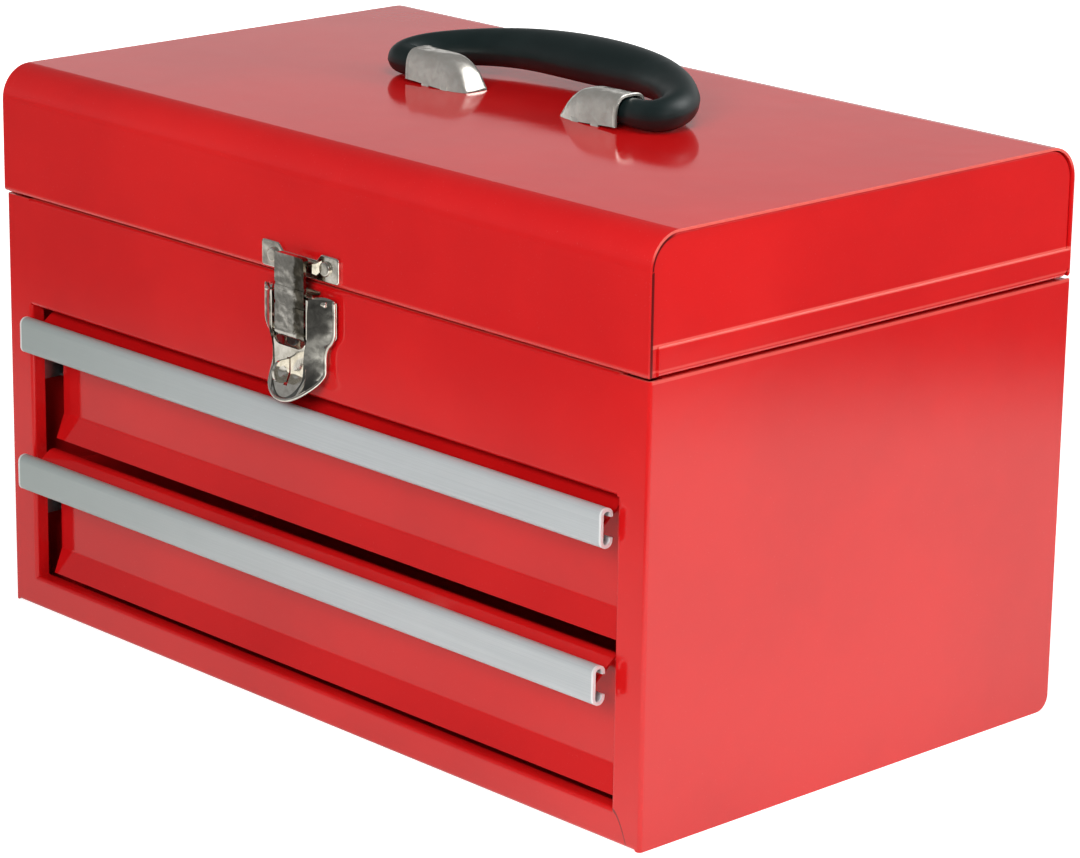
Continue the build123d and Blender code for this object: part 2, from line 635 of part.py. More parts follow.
def lid_end(side, name):
    """Lid end: a panel inside the wrap, its welded flange and the joggled band."""
    plate_out = HALF - END_STEP
    # rounder than the wrap, so that it seats on the wrap's flat faces
    inner_r = LID_CORNER_R - SHEET + FIT
    y = (LID_FRONT + SHEET, BACK - SHEET)
    start = plate_out - END_SHEET - END_FLANGE
    with BuildPart() as end:
        with BuildSketch(Plane.YZ.offset(side * start)):
            with BuildLine():
                FilletPolyline(
                    (y[0], LID_BOTTOM),
                    (y[0], LID_TOP - SHEET),
                    (y[1], LID_TOP - SHEET),
                    (y[1], LID_BOTTOM),
                    radius=inner_r,
                )
                Line((y[1], LID_BOTTOM), (y[0], LID_BOTTOM))
            make_face()
        extrude(amount=side * (plate_out - start))
        face = end.faces().sort_by(Axis.X)[-1 if side > 0 else 0]
        fillet(face.edges().sort_by(Axis.Z)[1:], END_EDGE_R)
        # joggled band along the bottom
        slab(
            pair(side, plate_out - END_SHEET, HALF),
            (y[0] + 4 * SHEET, y[1]),
            (LID_BOTTOM, LID_BOTTOM + END_BAND),
        )
        # hollow, open inwards
        with BuildSketch(Plane.YZ.offset(side * (start - SHEET))):
            with BuildLine():
                FilletPolyline(
                    (y[0] + END_SHEET, LID_BOTTOM + END_SHEET),
                    (y[0] + END_SHEET, LID_TOP - SHEET - END_SHEET),
                    (y[1] - END_SHEET, LID_TOP - SHEET - END_SHEET),
                    (y[1] - END_SHEET, LID_BOTTOM + END_SHEET),
                    radius=inner_r - END_SHEET,
                )
                Line(
                    (y[1] - END_SHEET, LID_BOTTOM + END_SHEET),
                    (y[0] + END_SHEET, LID_BOTTOM + END_SHEET),
                )
            make_face()
        extrude(amount=side * (END_FLANGE + SHEET), mode=Mode.SUBTRACT)
        slab(
            pair(side, start, HALF - END_SHEET),
            (y[0] + 4 * SHEET + END_SHEET, y[1] - END_SHEET),
            (LID_BOTTOM + END_SHEET, LID_BOTTOM + END_BAND - END_SHEET),
            Mode.SUBTRACT,
        )
        # the corner at the back is cut
        with BuildSketch(Plane.YZ.offset(side * (start - SHEET))):
            with BuildLine():
                Polyline(
                    (y[1] + SHEET, LID_BOTTOM - SHEET),
                    (y[1] + SHEET, LID_BOTTOM + LID_CUT),
                    (y[1], LID_BOTTOM + LID_CUT),
                    (y[1] - LID_CUT, LID_BOTTOM),
                    (y[1] - LID_CUT, LID_BOTTOM - SHEET),
                    close=True,
                )
            make_face()
        extrude(amount=side * (END_FLANGE + 4 * SHEET), mode=Mode.SUBTRACT)
        low_edge = end.edges().filter_by(Axis.Y).filter_by_position(
            Axis.X, *sorted((side * (HALF - 0.01), side * (HALF + 0.01)))
        )
        fillet(low_edge.sort_by(Axis.Z)[0], END_SHEET + 0.4)
        fillet(low_edge.sort_by(Axis.Z)[-1], END_STEP / 2)
    save(end, name)


lid_end(-1, "lid_end_left")
lid_end(1, "lid_end_right")


# ----------------------------------------------------------- piano hinge ----
def hinge_leaf(name, up, odd):
    """One hinge leaf with every other knuckle, above or below the axis."""
    step = 2 * HINGE_HALF / HINGE_KNUCKLES
    reach = HINGE_BARREL_R + FIT
    with BuildPart() as leaf:
        slab(
            (-HINGE_HALF, HINGE_HALF),
            (BACK, BACK + HINGE_LEAF),
            (HINGE_Z + up * reach, HINGE_Z + up * HINGE_WIDTH),
        )
        for n in range(odd, HINGE_KNUCKLES, 2):
            x = -HINGE_HALF + (n + 0.5) * step
            length = step - FIT
            slab(
                (x - length / 2, x + length / 2),
                (BACK, BACK + HINGE_LEAF),
                (HINGE_Z, HINGE_Z + up * (reach + SHEET)),
            )
            rod((x, HINGE_Y, HINGE_Z), HINGE_BARREL_R, length, "x")
        rod((0, HINGE_Y, HINGE_Z), HINGE_PIN_R + HOLE_FIT, 2 * HINGE_HALF + SHEET, "x", Mode.SUBTRACT)
        for x in HINGE_RIVET_X:
            rod((x, BACK, HINGE_Z + up * HINGE_RIVET_UP), RIVET_R + HOLE_FIT, 6 * SHEET, "y", Mode.SUBTRACT)
    save(leaf, name)


def rivets(name, places, head_y, far_y, way):
    """Rivets along Y: a domed head at head_y, a tail at far_y."""
    with BuildPart() as group:
        for x, z in places:
            rod((x, (head_y + far_y) / 2, z), RIVET_R, abs(far_y - head_y), "y")
            rod((x, head_y + way * RIVET_HEAD / 2, z), RIVET_HEAD_R, RIVET_HEAD, "y")
            rod((x, far_y - way * RIVET_HEAD / 2, z), RIVET_HEAD_R * 0.8, RIVET_HEAD, "y")
        ends = group.faces().filter_by(GeomType.PLANE).group_by(Axis.Y)
        outer = ends[-1] if way > 0 else ends[0]
        fillet(outer.edges(), RIVET_HEAD * 0.6)
    save(group, name)


hinge_leaf("hinge_leaf_case", -1, 0)
hinge_leaf("hinge_leaf_lid", 1, 1)
with BuildPart() as hinge_pin:
    rod((0, HINGE_Y, HINGE_Z), HINGE_PIN_R, 2 * HINGE_HALF, "x")
save(hinge_pin, "hinge_pin")
for name, up in (("hinge_rivets_case", -1), ("hinge_rivets_lid", 1)):
    rivets(
        name,
        [(x, HINGE_Z + up * HINGE_RIVET_UP) for x in HINGE_RIVET_X],
        BACK + HINGE_LEAF,
        BACK - SHEET,
        1,
    )


# ----------------------------------------------------------------- latch ----
def front_plane(ahead):
    """Plane parallel to the case's front, this far ahead of it; its local axes are X and Z."""
    return Plane.XZ.offset(-FRONT + ahead)


# catch on the lid's front: a plate with two ears and a pressed lip across its middle
with BuildPart() as latch_strike:
    with BuildSketch(front_plane(LID_OVERHANG)):
        with BuildLine():
            FilletPolyline(
                (LATCH_X - STRIKE_HALF, STRIKE_BOTTOM),
                (LATCH_X - STRIKE_HALF, STRIKE_BOTTOM + STRIKE_HEIGHT),
                (LATCH_X - CHANNEL_HALF - STRIKE_EAR, STRIKE_BOTTOM + STRIKE_HEIGHT),
                (LATCH_X - CHANNEL_HALF, STRIKE_BOTTOM + STRIKE_HEIGHT - STRIKE_EAR),
                (LATCH_X + CHANNEL_HALF, STRIKE_BOTTOM + STRIKE_HEIGHT - STRIKE_EAR),
                (LATCH_X + CHANNEL_HALF + STRIKE_EAR, STRIKE_BOTTOM + STRIKE_HEIGHT),
                (LATCH_X + STRIKE_HALF, STRIKE_BOTTOM + STRIKE_HEIGHT),
                (LATCH_X + STRIKE_HALF, STRIKE_BOTTOM),
                radius=STRIKE_EAR_R,
                close=True,
            )
        make_face()
    extrude(amount=STRIKE_PLATE)
    outer = latch_strike.faces().sort_by(Axis.Y)[0]
    fillet(outer.edges(), STRIKE_PLATE * 0.4)
    for side in (-1, 1):
        rod(
            (LATCH_X + side * STRIKE_RIVET_X, LID_FRONT - STRIKE_PLATE, STRIKE_BOTTOM + STRIKE_HEIGHT / 2),
            RIVET_R + HOLE_FIT,
            6 * STRIKE_PLATE,
            "y",
            Mode.SUBTRACT,
        )
    # lip that the link hooks over
    with BuildSketch(Plane.YZ.offset(LATCH_X - CHANNEL_HALF)):
        with BuildLine():
            Polyline(
                (LID_FRONT - STRIKE_PLATE / 2, STRIKE_BOTTOM + LIP_RAISE - STRIKE_PLATE),
                (LID_FRONT - LIP_OUT, STRIKE_BOTTOM + LIP_RAISE),
                (LID_FRONT - LIP_OUT, STRIKE_BOTTOM + LIP_RAISE + LIP_HEIGHT),
                (LID_FRONT - STRIKE_PLATE / 2, STRIKE_BOTTOM + LIP_RAISE + LIP_HEIGHT - FIT),
                close=True,
            )
        make_face()
    extrude(amount=2 * CHANNEL_HALF)
save(latch_strike, "latch_strike")
rivets(
    "latch_strike_rivets",
    [(LATCH_X + side * STRIKE_RIVET_X, STRIKE_BOTTOM + STRIKE_HEIGHT / 2) for side in (-1, 1)],
    LID_FRONT - STRIKE_PLATE,
    LID_FRONT + SHEET,
    -1,
)

# base on the case's front: a channel whose sides are the ears for the lever's pin, and a
# narrow tail with the staple for a padlock
with BuildPart() as latch_base:
    slab(
        (LATCH_X - BASE_HALF, LATCH_X + BASE_HALF),
        (FRONT, FRONT - PLATE),
        (BASE_LOW, CASE_HEIGHT - BASE_TOP),
    )
    slab(
        (LATCH_X - BASE_TAIL_HALF, LATCH_X + BASE_TAIL_HALF),
        (FRONT, FRONT - PLATE),
        (STAPLE_Z - STAPLE_HEIGHT / 2, BASE_LOW + PLATE),
    )
    for side in (-1, 1):
        with BuildSketch(Plane.YZ.offset(LATCH_X + side * BASE_HALF)):
            with BuildLine():
                Polyline(
                    (FRONT, LEVER_Z + EAR_R),
                    (LEVER_Y, LEVER_Z + EAR_R),
                    (LEVER_Y, LEVER_Z - EAR_R),
                    (FRONT - PLATE, LEVER_Z - EAR_DROP + EAR_R),
                    (FRONT, LEVER_Z - EAR_DROP),
                    close=True,
                )
            make_face()
            with Locations((LEVER_Y, LEVER_Z)):
                Circle(EAR_R)
        extrude(amount=-side * EAR)
    rod((LATCH_X, LEVER_Y, LEVER_Z), PIN_R, 3 * BASE_HALF, "x", Mode.SUBTRACT)
    for side in (-1, 1):
        rod((LATCH_X + side * BASE_RIVET_X, FRONT, BASE_RIVET_Z), RIVET_R + HOLE_FIT, 6 * SHEET, "y", Mode.SUBTRACT)
    with BuildSketch(Plane.YZ.offset(LATCH_X - STAPLE / 2)):
        with BuildLine():
            staple_tip = FRONT - LEVER_FACE - STAPLE_OUT
            FilletPolyline(
                (FRONT, STAPLE_Z + STAPLE_HEIGHT / 2),
                (staple_tip, STAPLE_Z + STAPLE_HEIGHT / 2),
                (staple_tip, STAPLE_Z - STAPLE_HEIGHT / 2),
                (FRONT, STAPLE_Z - STAPLE_HEIGHT / 2),
                radius=STAPLE_R,
            )
            Line((FRONT, STAPLE_Z - STAPLE_HEIGHT / 2), (FRONT, STAPLE_Z + STAPLE_HEIGHT / 2))
        make_face()
        with Locations((staple_tip + STAPLE_R, STAPLE_Z)):
            Circle(STAPLE_HOLE_R, mode=Mode.SUBTRACT)
    extrude(amount=STAPLE)
save(latch_base, "latch_base")
rivets(
    "latch_base_rivets",
    [(LATCH_X + side * BASE_RIVET_X, BASE_RIVET_Z) for side in (-1, 1)],
    FRONT - PLATE,
    FRONT + SHEET,
    -1,
)

# lever's pin, held in the ears and ending just outside the lever's sloping walls
with BuildPart() as latch_pin:
    rod((LATCH_X, LEVER_Y, LEVER_Z), PIN_R, 2 * PIN_HALF, "x")
    pin_ends = latch_pin.faces().sort_by(Axis.X)
    fillet(pin_ends[0].edges(), PIN_R * 0.6)
    fillet(pin_ends[-1].edges(), PIN_R * 0.6)
save(latch_pin, "latch_pin")


def lever_outline(ahead, wide, narrow, knee_r, inset):
    """Front view of the lever down to its tongue, this far ahead of the case."""
    wide = wide - inset
    narrow = narrow - inset
    top = LEVER_Z + LEVER_TOP_R
    shoulder = LEVER_Z - LEVER_WIDE
    knee = shoulder - 1.05 * (wide - narrow)
    end = LEVER_Z - TONGUE_LENGTH
    with BuildSketch(front_plane(ahead)) as outline:
        with BuildLine():
            FilletPolyline(
                (LATCH_X - narrow, end),
                (LATCH_X - narrow, knee),
                (LATCH_X - wide, shoulder),
                (LATCH_X - wide, top),
                (LATCH_X + wide, top),
                (LATCH_X + wide, shoulder),
                (LATCH_X + narrow, knee),
                (LATCH_X + narrow, end),
                radius=[knee_r, SHOULDER_R, SHOULDER_R, SHOULDER_R, SHOULDER_R, knee_r],
            )
            Line((LATCH_X - narrow, end), (LATCH_X + narrow, end))
        make_face()
    return outline.sketch


def lever_dish(rim_ahead, face_ahead, inset):
    """Dish between the lever's wide rim and its narrower face."""
    rise = (face_ahead - LEVER_BACK) / (LEVER_FACE - LEVER_BACK)
    wide = LEVER_HALF + rise * (FACE_HALF - LEVER_HALF)
    narrow = RIM_TONGUE_HALF + rise * (FACE_TONGUE_HALF - RIM_TONGUE_HALF)
    knee_r = TONGUE_R + rise * (SHOULDER_R - TONGUE_R)
    rim = lever_outline(rim_ahead, LEVER_HALF, RIM_TONGUE_HALF, TONGUE_R, inset)
    face = lever_outline(face_ahead, wide, narrow, knee_r, inset)
    with BuildPart() as dish:
        loft([rim, face], ruled=True)
    return dish.part


# lever: a dished pressing with sloping walls, a window for the link and a flared finger tab
with BuildPart() as latch_lever:
    add(lever_dish(LEVER_BACK, LEVER_FACE, 0))
    add(lever_dish(LEVER_BACK, LEVER_FACE - LEVER_WALL, LEVER_FLARE_WALL), mode=Mode.SUBTRACT)
    # the top is open, and rounded about the pin
    slab(
        (LATCH_X - FACE_HALF, LATCH_X + FACE_HALF),
        (FRONT - LEVER_BACK + SHEET, FRONT - LEVER_FACE + LEVER_WALL),
        (LEVER_Z, LEVER_Z + 2 * LEVER_TOP_R),
        Mode.SUBTRACT,
    )
    with BuildSketch(Plane.YZ.offset(LATCH_X - LEVER_HALF - SHEET)):
        with Locations((LEVER_Y, LEVER_Z + 2 * LEVER_TOP_R)):
            Rectangle(8 * LEVER_TOP_R, 4 * LEVER_TOP_R)
        with Locations((LEVER_Y, LEVER_Z)):
            Circle(LEVER_TOP_R, mode=Mode.SUBTRACT)
        with Locations((LEVER_Y - LEVER_TOP_R, LEVER_Z)):
            Rectangle(2 * LEVER_TOP_R, 2 * LEVER_TOP, mode=Mode.SUBTRACT)
    extrude(amount=2 * (LEVER_HALF + SHEET), mode=Mode.SUBTRACT)
    # window, round at its lower corners
    with BuildSketch(front_plane(LEVER_BACK)):
        with BuildLine():
            window_low = LEVER_Z - WINDOW_LENGTH
            FilletPolyline(
                (LATCH_X - WINDOW_HALF, LEVER_Z + 2 * LEVER_TOP_R),
                (LATCH_X - WINDOW_HALF, window_low),
                (LATCH_X + WINDOW_HALF, window_low),
                (LATCH_X + WINDOW_HALF, LEVER_Z + 2 * LEVER_TOP_R),
                radius=WINDOW_R,
            )
            Line(
                (LATCH_X - WINDOW_HALF, LEVER_Z + 2 * LEVER_TOP_R),
                (LATCH_X + WINDOW_HALF, LEVER_Z + 2 * LEVER_TOP_R),
            )
        make_face()
    extrude(amount=LEVER_FACE, mode=Mode.SUBTRACT)
    # flared finger tab
    flare_z = LEVER_Z - TONGUE_LENGTH
    tab_z = flare_z - TAB_LENGTH
    with BuildSketch(front_plane(LEVER_BACK)):
        with BuildLine():
            FilletPolyline(
                (LATCH_X - TAB_HALF, flare_z + SHOULDER_R),
                (LATCH_X - TAB_HALF, tab_z),
                (LATCH_X + TAB_HALF, tab_z),
                (LATCH_X + TAB_HALF, flare_z + SHOULDER_R),
                radius=TAB_HALF * 0.8,
            )
            Line((LATCH_X - TAB_HALF, flare_z + SHOULDER_R), (LATCH_X + TAB_HALF, flare_z + SHOULDER_R))
        make_face()
    tab_blank = extrude(amount=LEVER_FACE + 2 * TAB_FLARE, mode=Mode.PRIVATE)
    with BuildSketch(Plane.YZ.offset(LATCH_X - LEVER_HALF)) as flare_section:
        with BuildLine():
            FilletPolyline(
                (FRONT - LEVER_FACE, flare_z + SHOULDER_R),
                (FRONT - LEVER_FACE, flare_z - TAB_LENGTH * 0.1),
                (FRONT - LEVER_FACE - TAB_FLARE, tab_z - SHEET),
                radius=3.0,
            )
            offset(amount=LEVER_WALL, side=Side.LEFT)
        make_face()
    flare = extrude(flare_section.sketch, amount=2 * LEVER_HALF, mode=Mode.PRIVATE)
    add(flare & tab_blank)
    # slot that the padlock's staple passes as the lever swings
    slot_near = STAPLE_DROP - STAPLE_HEIGHT / 2 - SLOT_FIT
    slot_far = math.hypot(STAPLE_DROP + STAPLE_HEIGHT / 2, STAPLE_OUT) + SLOT_FIT
    slab(
        (LATCH_X - STAPLE / 2 - SLOT_FIT, LATCH_X + STAPLE / 2 + SLOT_FIT),
        (FRONT - LEVER_BACK, FRONT - LEVER_FACE - 2 * TAB_FLARE),
        (LEVER_Z - slot_far, LEVER_Z - slot_near),
        Mode.SUBTRACT,
    )
    # lugs for the link's pin, folded in from the window's edges
    for side in (-1, 1):
        slab(
            (LATCH_X + side * WINDOW_HALF, LATCH_X + side * (WINDOW_HALF + LEVER_WALL)),
            (LINK_Y + 2 * LINK_PIN_R, FRONT - LEVER_FACE + LEVER_WALL / 2),
            (LINK_Z - 2.4 * LINK_PIN_R, LINK_Z + 2.4 * LINK_PIN_R),
        )
    rod((LATCH_X, LINK_Y, LINK_Z), LINK_PIN_R, 2 * WINDOW_HALF + 4 * LEVER_WALL, "x", Mode.SUBTRACT)
    rod((LATCH_X, LEVER_Y, LEVER_Z), PIN_R + HOLE_FIT, 3 * LEVER_HALF, "x", Mode.SUBTRACT)
save(latch_lever, "latch_lever")

with BuildPart() as latch_link_pin:
    rod((LATCH_X, LINK_Y, LINK_Z), LINK_PIN_R, 2 * (WINDOW_HALF + LEVER_WALL), "x")
save(latch_link_pin, "latch_link_pin")

# link: barrel on its pin, a plate with two pressed grooves, and the hook
with BuildPart() as latch_link:
    plate_face = LINK_Y - LINK_BARREL_R
    slab(
        (LATCH_X - LINK_HALF, LATCH_X + LINK_HALF),
        (plate_face, plate_face + LINK_SHEET),
        (LINK_Z, LINK_Z + LINK_LENGTH),
    )
    rod((LATCH_X, LINK_Y, LINK_Z), LINK_BARREL_R, 2 * LINK_HALF, "x")
    slab(
        (LATCH_X - LINK_HALF, LATCH_X + LINK_HALF),
        (plate_face + LINK_SHEET, plate_face + LINK_SHEET + LINK_HOOK),
        (LINK_Z + LINK_LENGTH - LINK_HOOK_HEIGHT, LINK_Z + LINK_LENGTH),
    )
    for share in LINK_GROOVES:
        slab(
            (LATCH_X - LINK_HALF - SHEET, LATCH_X + LINK_HALF + SHEET),
            (plate_face - SHEET, plate_face + LINK_GROOVE),
            (LINK_Z + LINK_LENGTH * share - LINK_SHEET / 2, LINK_Z + LINK_LENGTH * share + LINK_SHEET / 2),
            Mode.SUBTRACT,
        )
    corners = latch_link.edges().filter_by(Axis.Y).group_by(Axis.Z)[-1]
    fillet(corners, LINK_HALF * 0.2)
    rod((LATCH_X, LINK_Y, LINK_Z), LINK_PIN_R + HOLE_FIT, 3 * LINK_HALF, "x", Mode.SUBTRACT)
save(latch_link, "latch_link")


# ---------------------------------------------------------------- handle ----
AXIS_Z = LID_TOP + AXIS_UP


def cap_body(side, inset):
    """Space under a cap's outer skin, or under its sheet: arched across, sloping to a low nose."""
    mouth = HANDLE_X + side * CAP_MOUTH
    nose = mouth - side * CAP_LENGTH
    half = CAP_WIDTH / 2
    top = LID_TOP + CAP_HEIGHT
    low = LID_TOP - 2 * SHEET
    # each profile runs on past the mouth and the lid, so that its inset moves the skin alone
    past = mouth + side * 2 * SHEET
    with BuildPart() as body:
        with BuildSketch(Plane.YZ.offset(past)):
            with BuildLine():
                FilletPolyline(
                    (HANDLE_Y - half, low),
                    (HANDLE_Y - half, top),
                    (HANDLE_Y + half, top),
                    (HANDLE_Y + half, low),
                    radius=CAP_CORNER_R,
                )
                Line((HANDLE_Y + half, low), (HANDLE_Y - half, low))
            make_face()
            if inset:
                offset(amount=-inset)
        extrude(amount=-side * (CAP_LENGTH + 3 * SHEET))
        with BuildSketch(Plane.XZ.offset(-HANDLE_Y)):
            with BuildLine():
                FilletPolyline(
                    (nose, low),
                    (nose, LID_TOP + NOSE_HEIGHT),
                    (nose + side * CAP_SLOPE, top - CAP_FALL),
                    (mouth - side * CAP_FLAT, top),
                    (past, top),
                    radius=[NOSE_HEIGHT * 0.4, CAP_BEND_R, CAP_BEND_R],
                )
                Polyline((past, top), (past, low), (nose, low))
            make_face()
            if inset:
                offset(amount=-inset)
        extrude(amount=CAP_WIDTH, both=True, mode=Mode.INTERSECT)
        with BuildSketch(Plane.XY.offset(low)):
            with BuildLine():
                FilletPolyline(
                    (past, HANDLE_Y - half),
                    (nose + side * NOSE_PLAN, HANDLE_Y - half),
                    (nose, HANDLE_Y - NOSE_WIDTH / 2),
                    (nose, HANDLE_Y + NOSE_WIDTH / 2),
                    (nose + side * NOSE_PLAN, HANDLE_Y + half),
                    (past, HANDLE_Y + half),
                    radius=[NOSE_R, NOSE_R / 2, NOSE_R / 2, NOSE_R],
                )
                Line((past, HANDLE_Y + half), (past, HANDLE_Y - half))
            make_face()
            if inset:
                offset(amount=-inset)
        extrude(amount=2 * CAP_HEIGHT, mode=Mode.INTERSECT)
    return body.part


def handle_cap(side, name):
    """Pressed cap: open outwards and underneath, held by tabs through the lid."""
    mouth = HANDLE_X + side * CAP_MOUTH
    with BuildPart() as cap:
        add(cap_body(side, 0))
        add(cap_body(side, CAP_SHEET), mode=Mode.SUBTRACT)
        # cut at the mouth, and along a lower edge that rises towards it
        slab((mouth, mouth + side * CAP_LENGTH), (HANDLE_Y - CAP_WIDTH, HANDLE_Y + CAP_WIDTH), (0, 2 * LID_TOP), Mode.SUBTRACT)
        with BuildSketch(Plane.XZ.offset(-HANDLE_Y)):
            with BuildLine():
                Polyline(
                    (mouth + side * SHEET, LID_TOP + FOOT_RISE),
                    (mouth, LID_TOP + FOOT_RISE),
                    (mouth - side * CAP_LENGTH * 0.75, LID_TOP),
                    (mouth - side * 2 * CAP_LENGTH, LID_TOP),
                    (mouth - side * 2 * CAP_LENGTH, LID_TOP - CAP_HEIGHT),
                    (mouth + side * SHEET, LID_TOP - CAP_HEIGHT),
                    close=True,
                )
            make_face()
        extrude(amount=CAP_WIDTH, both=True, mode=Mode.SUBTRACT)
        # tabs through the lid, bent over inside it
        for x, y, way in cap_tabs(side):
            slab(
                (x - TAB_WIDTH / 2, x + TAB_WIDTH / 2),
                (y - CAP_SHEET / 2, y + CAP_SHEET / 2),
                (LID_TOP - 2 * SHEET, LID_TOP + FOOT_RISE + SHEET),
            )
            slab(
                (x - TAB_WIDTH / 2, x + TAB_WIDTH / 2),
                (y - way * CAP_SHEET / 2, y + way * 4.5 * CAP_SHEET),
                (LID_TOP - 2 * SHEET, LID_TOP - SHEET),
            )
    save(cap, name)


def handle_saddle(side, name):
    """Moulded bearing block inside a cap, bored for the handle's rod."""
    outer = HANDLE_X + side * (GRIP_END - SADDLE_GAP)
    with BuildPart() as saddle:
        add(cap_body(side, CAP_SHEET))
        slab(
            (outer, outer - side * SADDLE_LENGTH),
            (HANDLE_Y - CAP_WIDTH, HANDLE_Y + CAP_WIDTH),
            (LID_TOP, LID_TOP + CAP_HEIGHT),
            Mode.INTERSECT,
        )
        rod((outer, HANDLE_Y, AXIS_Z), ROD_R + HOLE_FIT, 4 * SADDLE_LENGTH, "x", Mode.SUBTRACT)
    save(saddle, name)


handle_cap(-1, "handle_cap_left")
handle_cap(1, "handle_cap_right")
handle_saddle(-1, "handle_saddle_left")
handle_saddle(1, "handle_saddle_right")

# bail-shaped grip through elliptical sections along its path
path = [(x, v, a, b) for x, v, a, b in GRIP_PATH]
path += [(-x, v, a, b) for x, v, a, b in reversed(GRIP_PATH[:-1])]
tilt = math.radians(HANDLE_TILT)
with BuildPart() as handle_grip:
    for n, (x, v, a, b) in enumerate(path):
        before = path[max(n - 1, 0)]
        after = path[min(n + 1, len(path) - 1)]
        run = (after[0] - before[0], after[1] - before[1])
        if n in (0, len(path) - 1):
            run = (run[0], 0.0)
        length = math.hypot(*run)
        tangent = (run[0] / length, run[1] / length)
        across = (-tangent[1], tangent[0])
        centre = (HANDLE_X + x, HANDLE_Y + v * math.cos(tilt), AXIS_Z + v * math.sin(tilt))
        lie = Plane(
            origin=centre,
            x_dir=(across[0], across[1] * math.cos(tilt), across[1] * math.sin(tilt)),
            z_dir=(tangent[0], tangent[1] * math.cos(tilt), tangent[1] * math.sin(tilt)),
        )
        with BuildSketch(lie):
            Ellipse(a, b)
    loft()
    for side in (-1, 1):
        rod(
            (HANDLE_X + side * GRIP_END, HANDLE_Y, AXIS_Z),
            ROD_R,
            2 * ROD_IN_GRIP,
            "x",
            Mode.SUBTRACT,
        )
save(handle_grip, "handle_grip")

# steel rod moulded into each end of the grip
with BuildPart() as handle_rods:
    rod_start = GRIP_END - SADDLE_GAP - SADDLE_LENGTH - ROD_PAST
    for side in (-1, 1):
        rod(
            (HANDLE_X + side * (rod_start + GRIP_END + ROD_IN_GRIP) / 2, HANDLE_Y, AXIS_Z),
            ROD_R,
            GRIP_END + ROD_IN_GRIP - rod_start,
            "x",
        )
save(handle_rods, "handle_rods")
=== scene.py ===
"""Looks of the portable steel tool box: finishes, detail pieces, floor, light and camera.

Everything is in metres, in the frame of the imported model: +X to the right, the front
towards -Y, +Z up, and the origin in the middle of the case's underside.
"""
from __future__ import annotations

import json
import logging
import math
from dataclasses import dataclass, replace
from enum import Enum
from typing import Any, ClassVar, Iterable, Sequence, Union

import bmesh
import bpy
from mathutils import Matrix, Vector

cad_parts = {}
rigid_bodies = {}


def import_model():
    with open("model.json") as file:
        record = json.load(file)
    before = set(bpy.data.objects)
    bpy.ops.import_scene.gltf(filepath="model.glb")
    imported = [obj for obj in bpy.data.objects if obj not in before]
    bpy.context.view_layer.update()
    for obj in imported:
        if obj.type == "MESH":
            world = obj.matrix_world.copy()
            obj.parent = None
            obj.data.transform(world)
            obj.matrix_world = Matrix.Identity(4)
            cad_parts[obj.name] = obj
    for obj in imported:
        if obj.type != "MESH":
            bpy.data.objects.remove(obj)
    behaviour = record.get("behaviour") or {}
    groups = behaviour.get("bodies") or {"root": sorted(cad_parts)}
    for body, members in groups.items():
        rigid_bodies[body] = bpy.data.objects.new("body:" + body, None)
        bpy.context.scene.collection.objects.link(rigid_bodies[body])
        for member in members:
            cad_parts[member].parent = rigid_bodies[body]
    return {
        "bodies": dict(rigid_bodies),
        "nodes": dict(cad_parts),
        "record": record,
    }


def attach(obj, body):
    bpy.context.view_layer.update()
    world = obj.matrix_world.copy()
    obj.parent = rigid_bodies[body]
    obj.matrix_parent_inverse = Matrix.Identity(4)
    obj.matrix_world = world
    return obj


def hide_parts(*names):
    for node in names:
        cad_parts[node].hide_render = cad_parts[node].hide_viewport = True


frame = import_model()

LOG = logging.getLogger("tool_box")
MM = 0.001
Point = tuple[float, float, float]
Colour = tuple[float, float, float]
Span = tuple[float, float]
Tint = Union[Colour, bpy.types.NodeSocket]


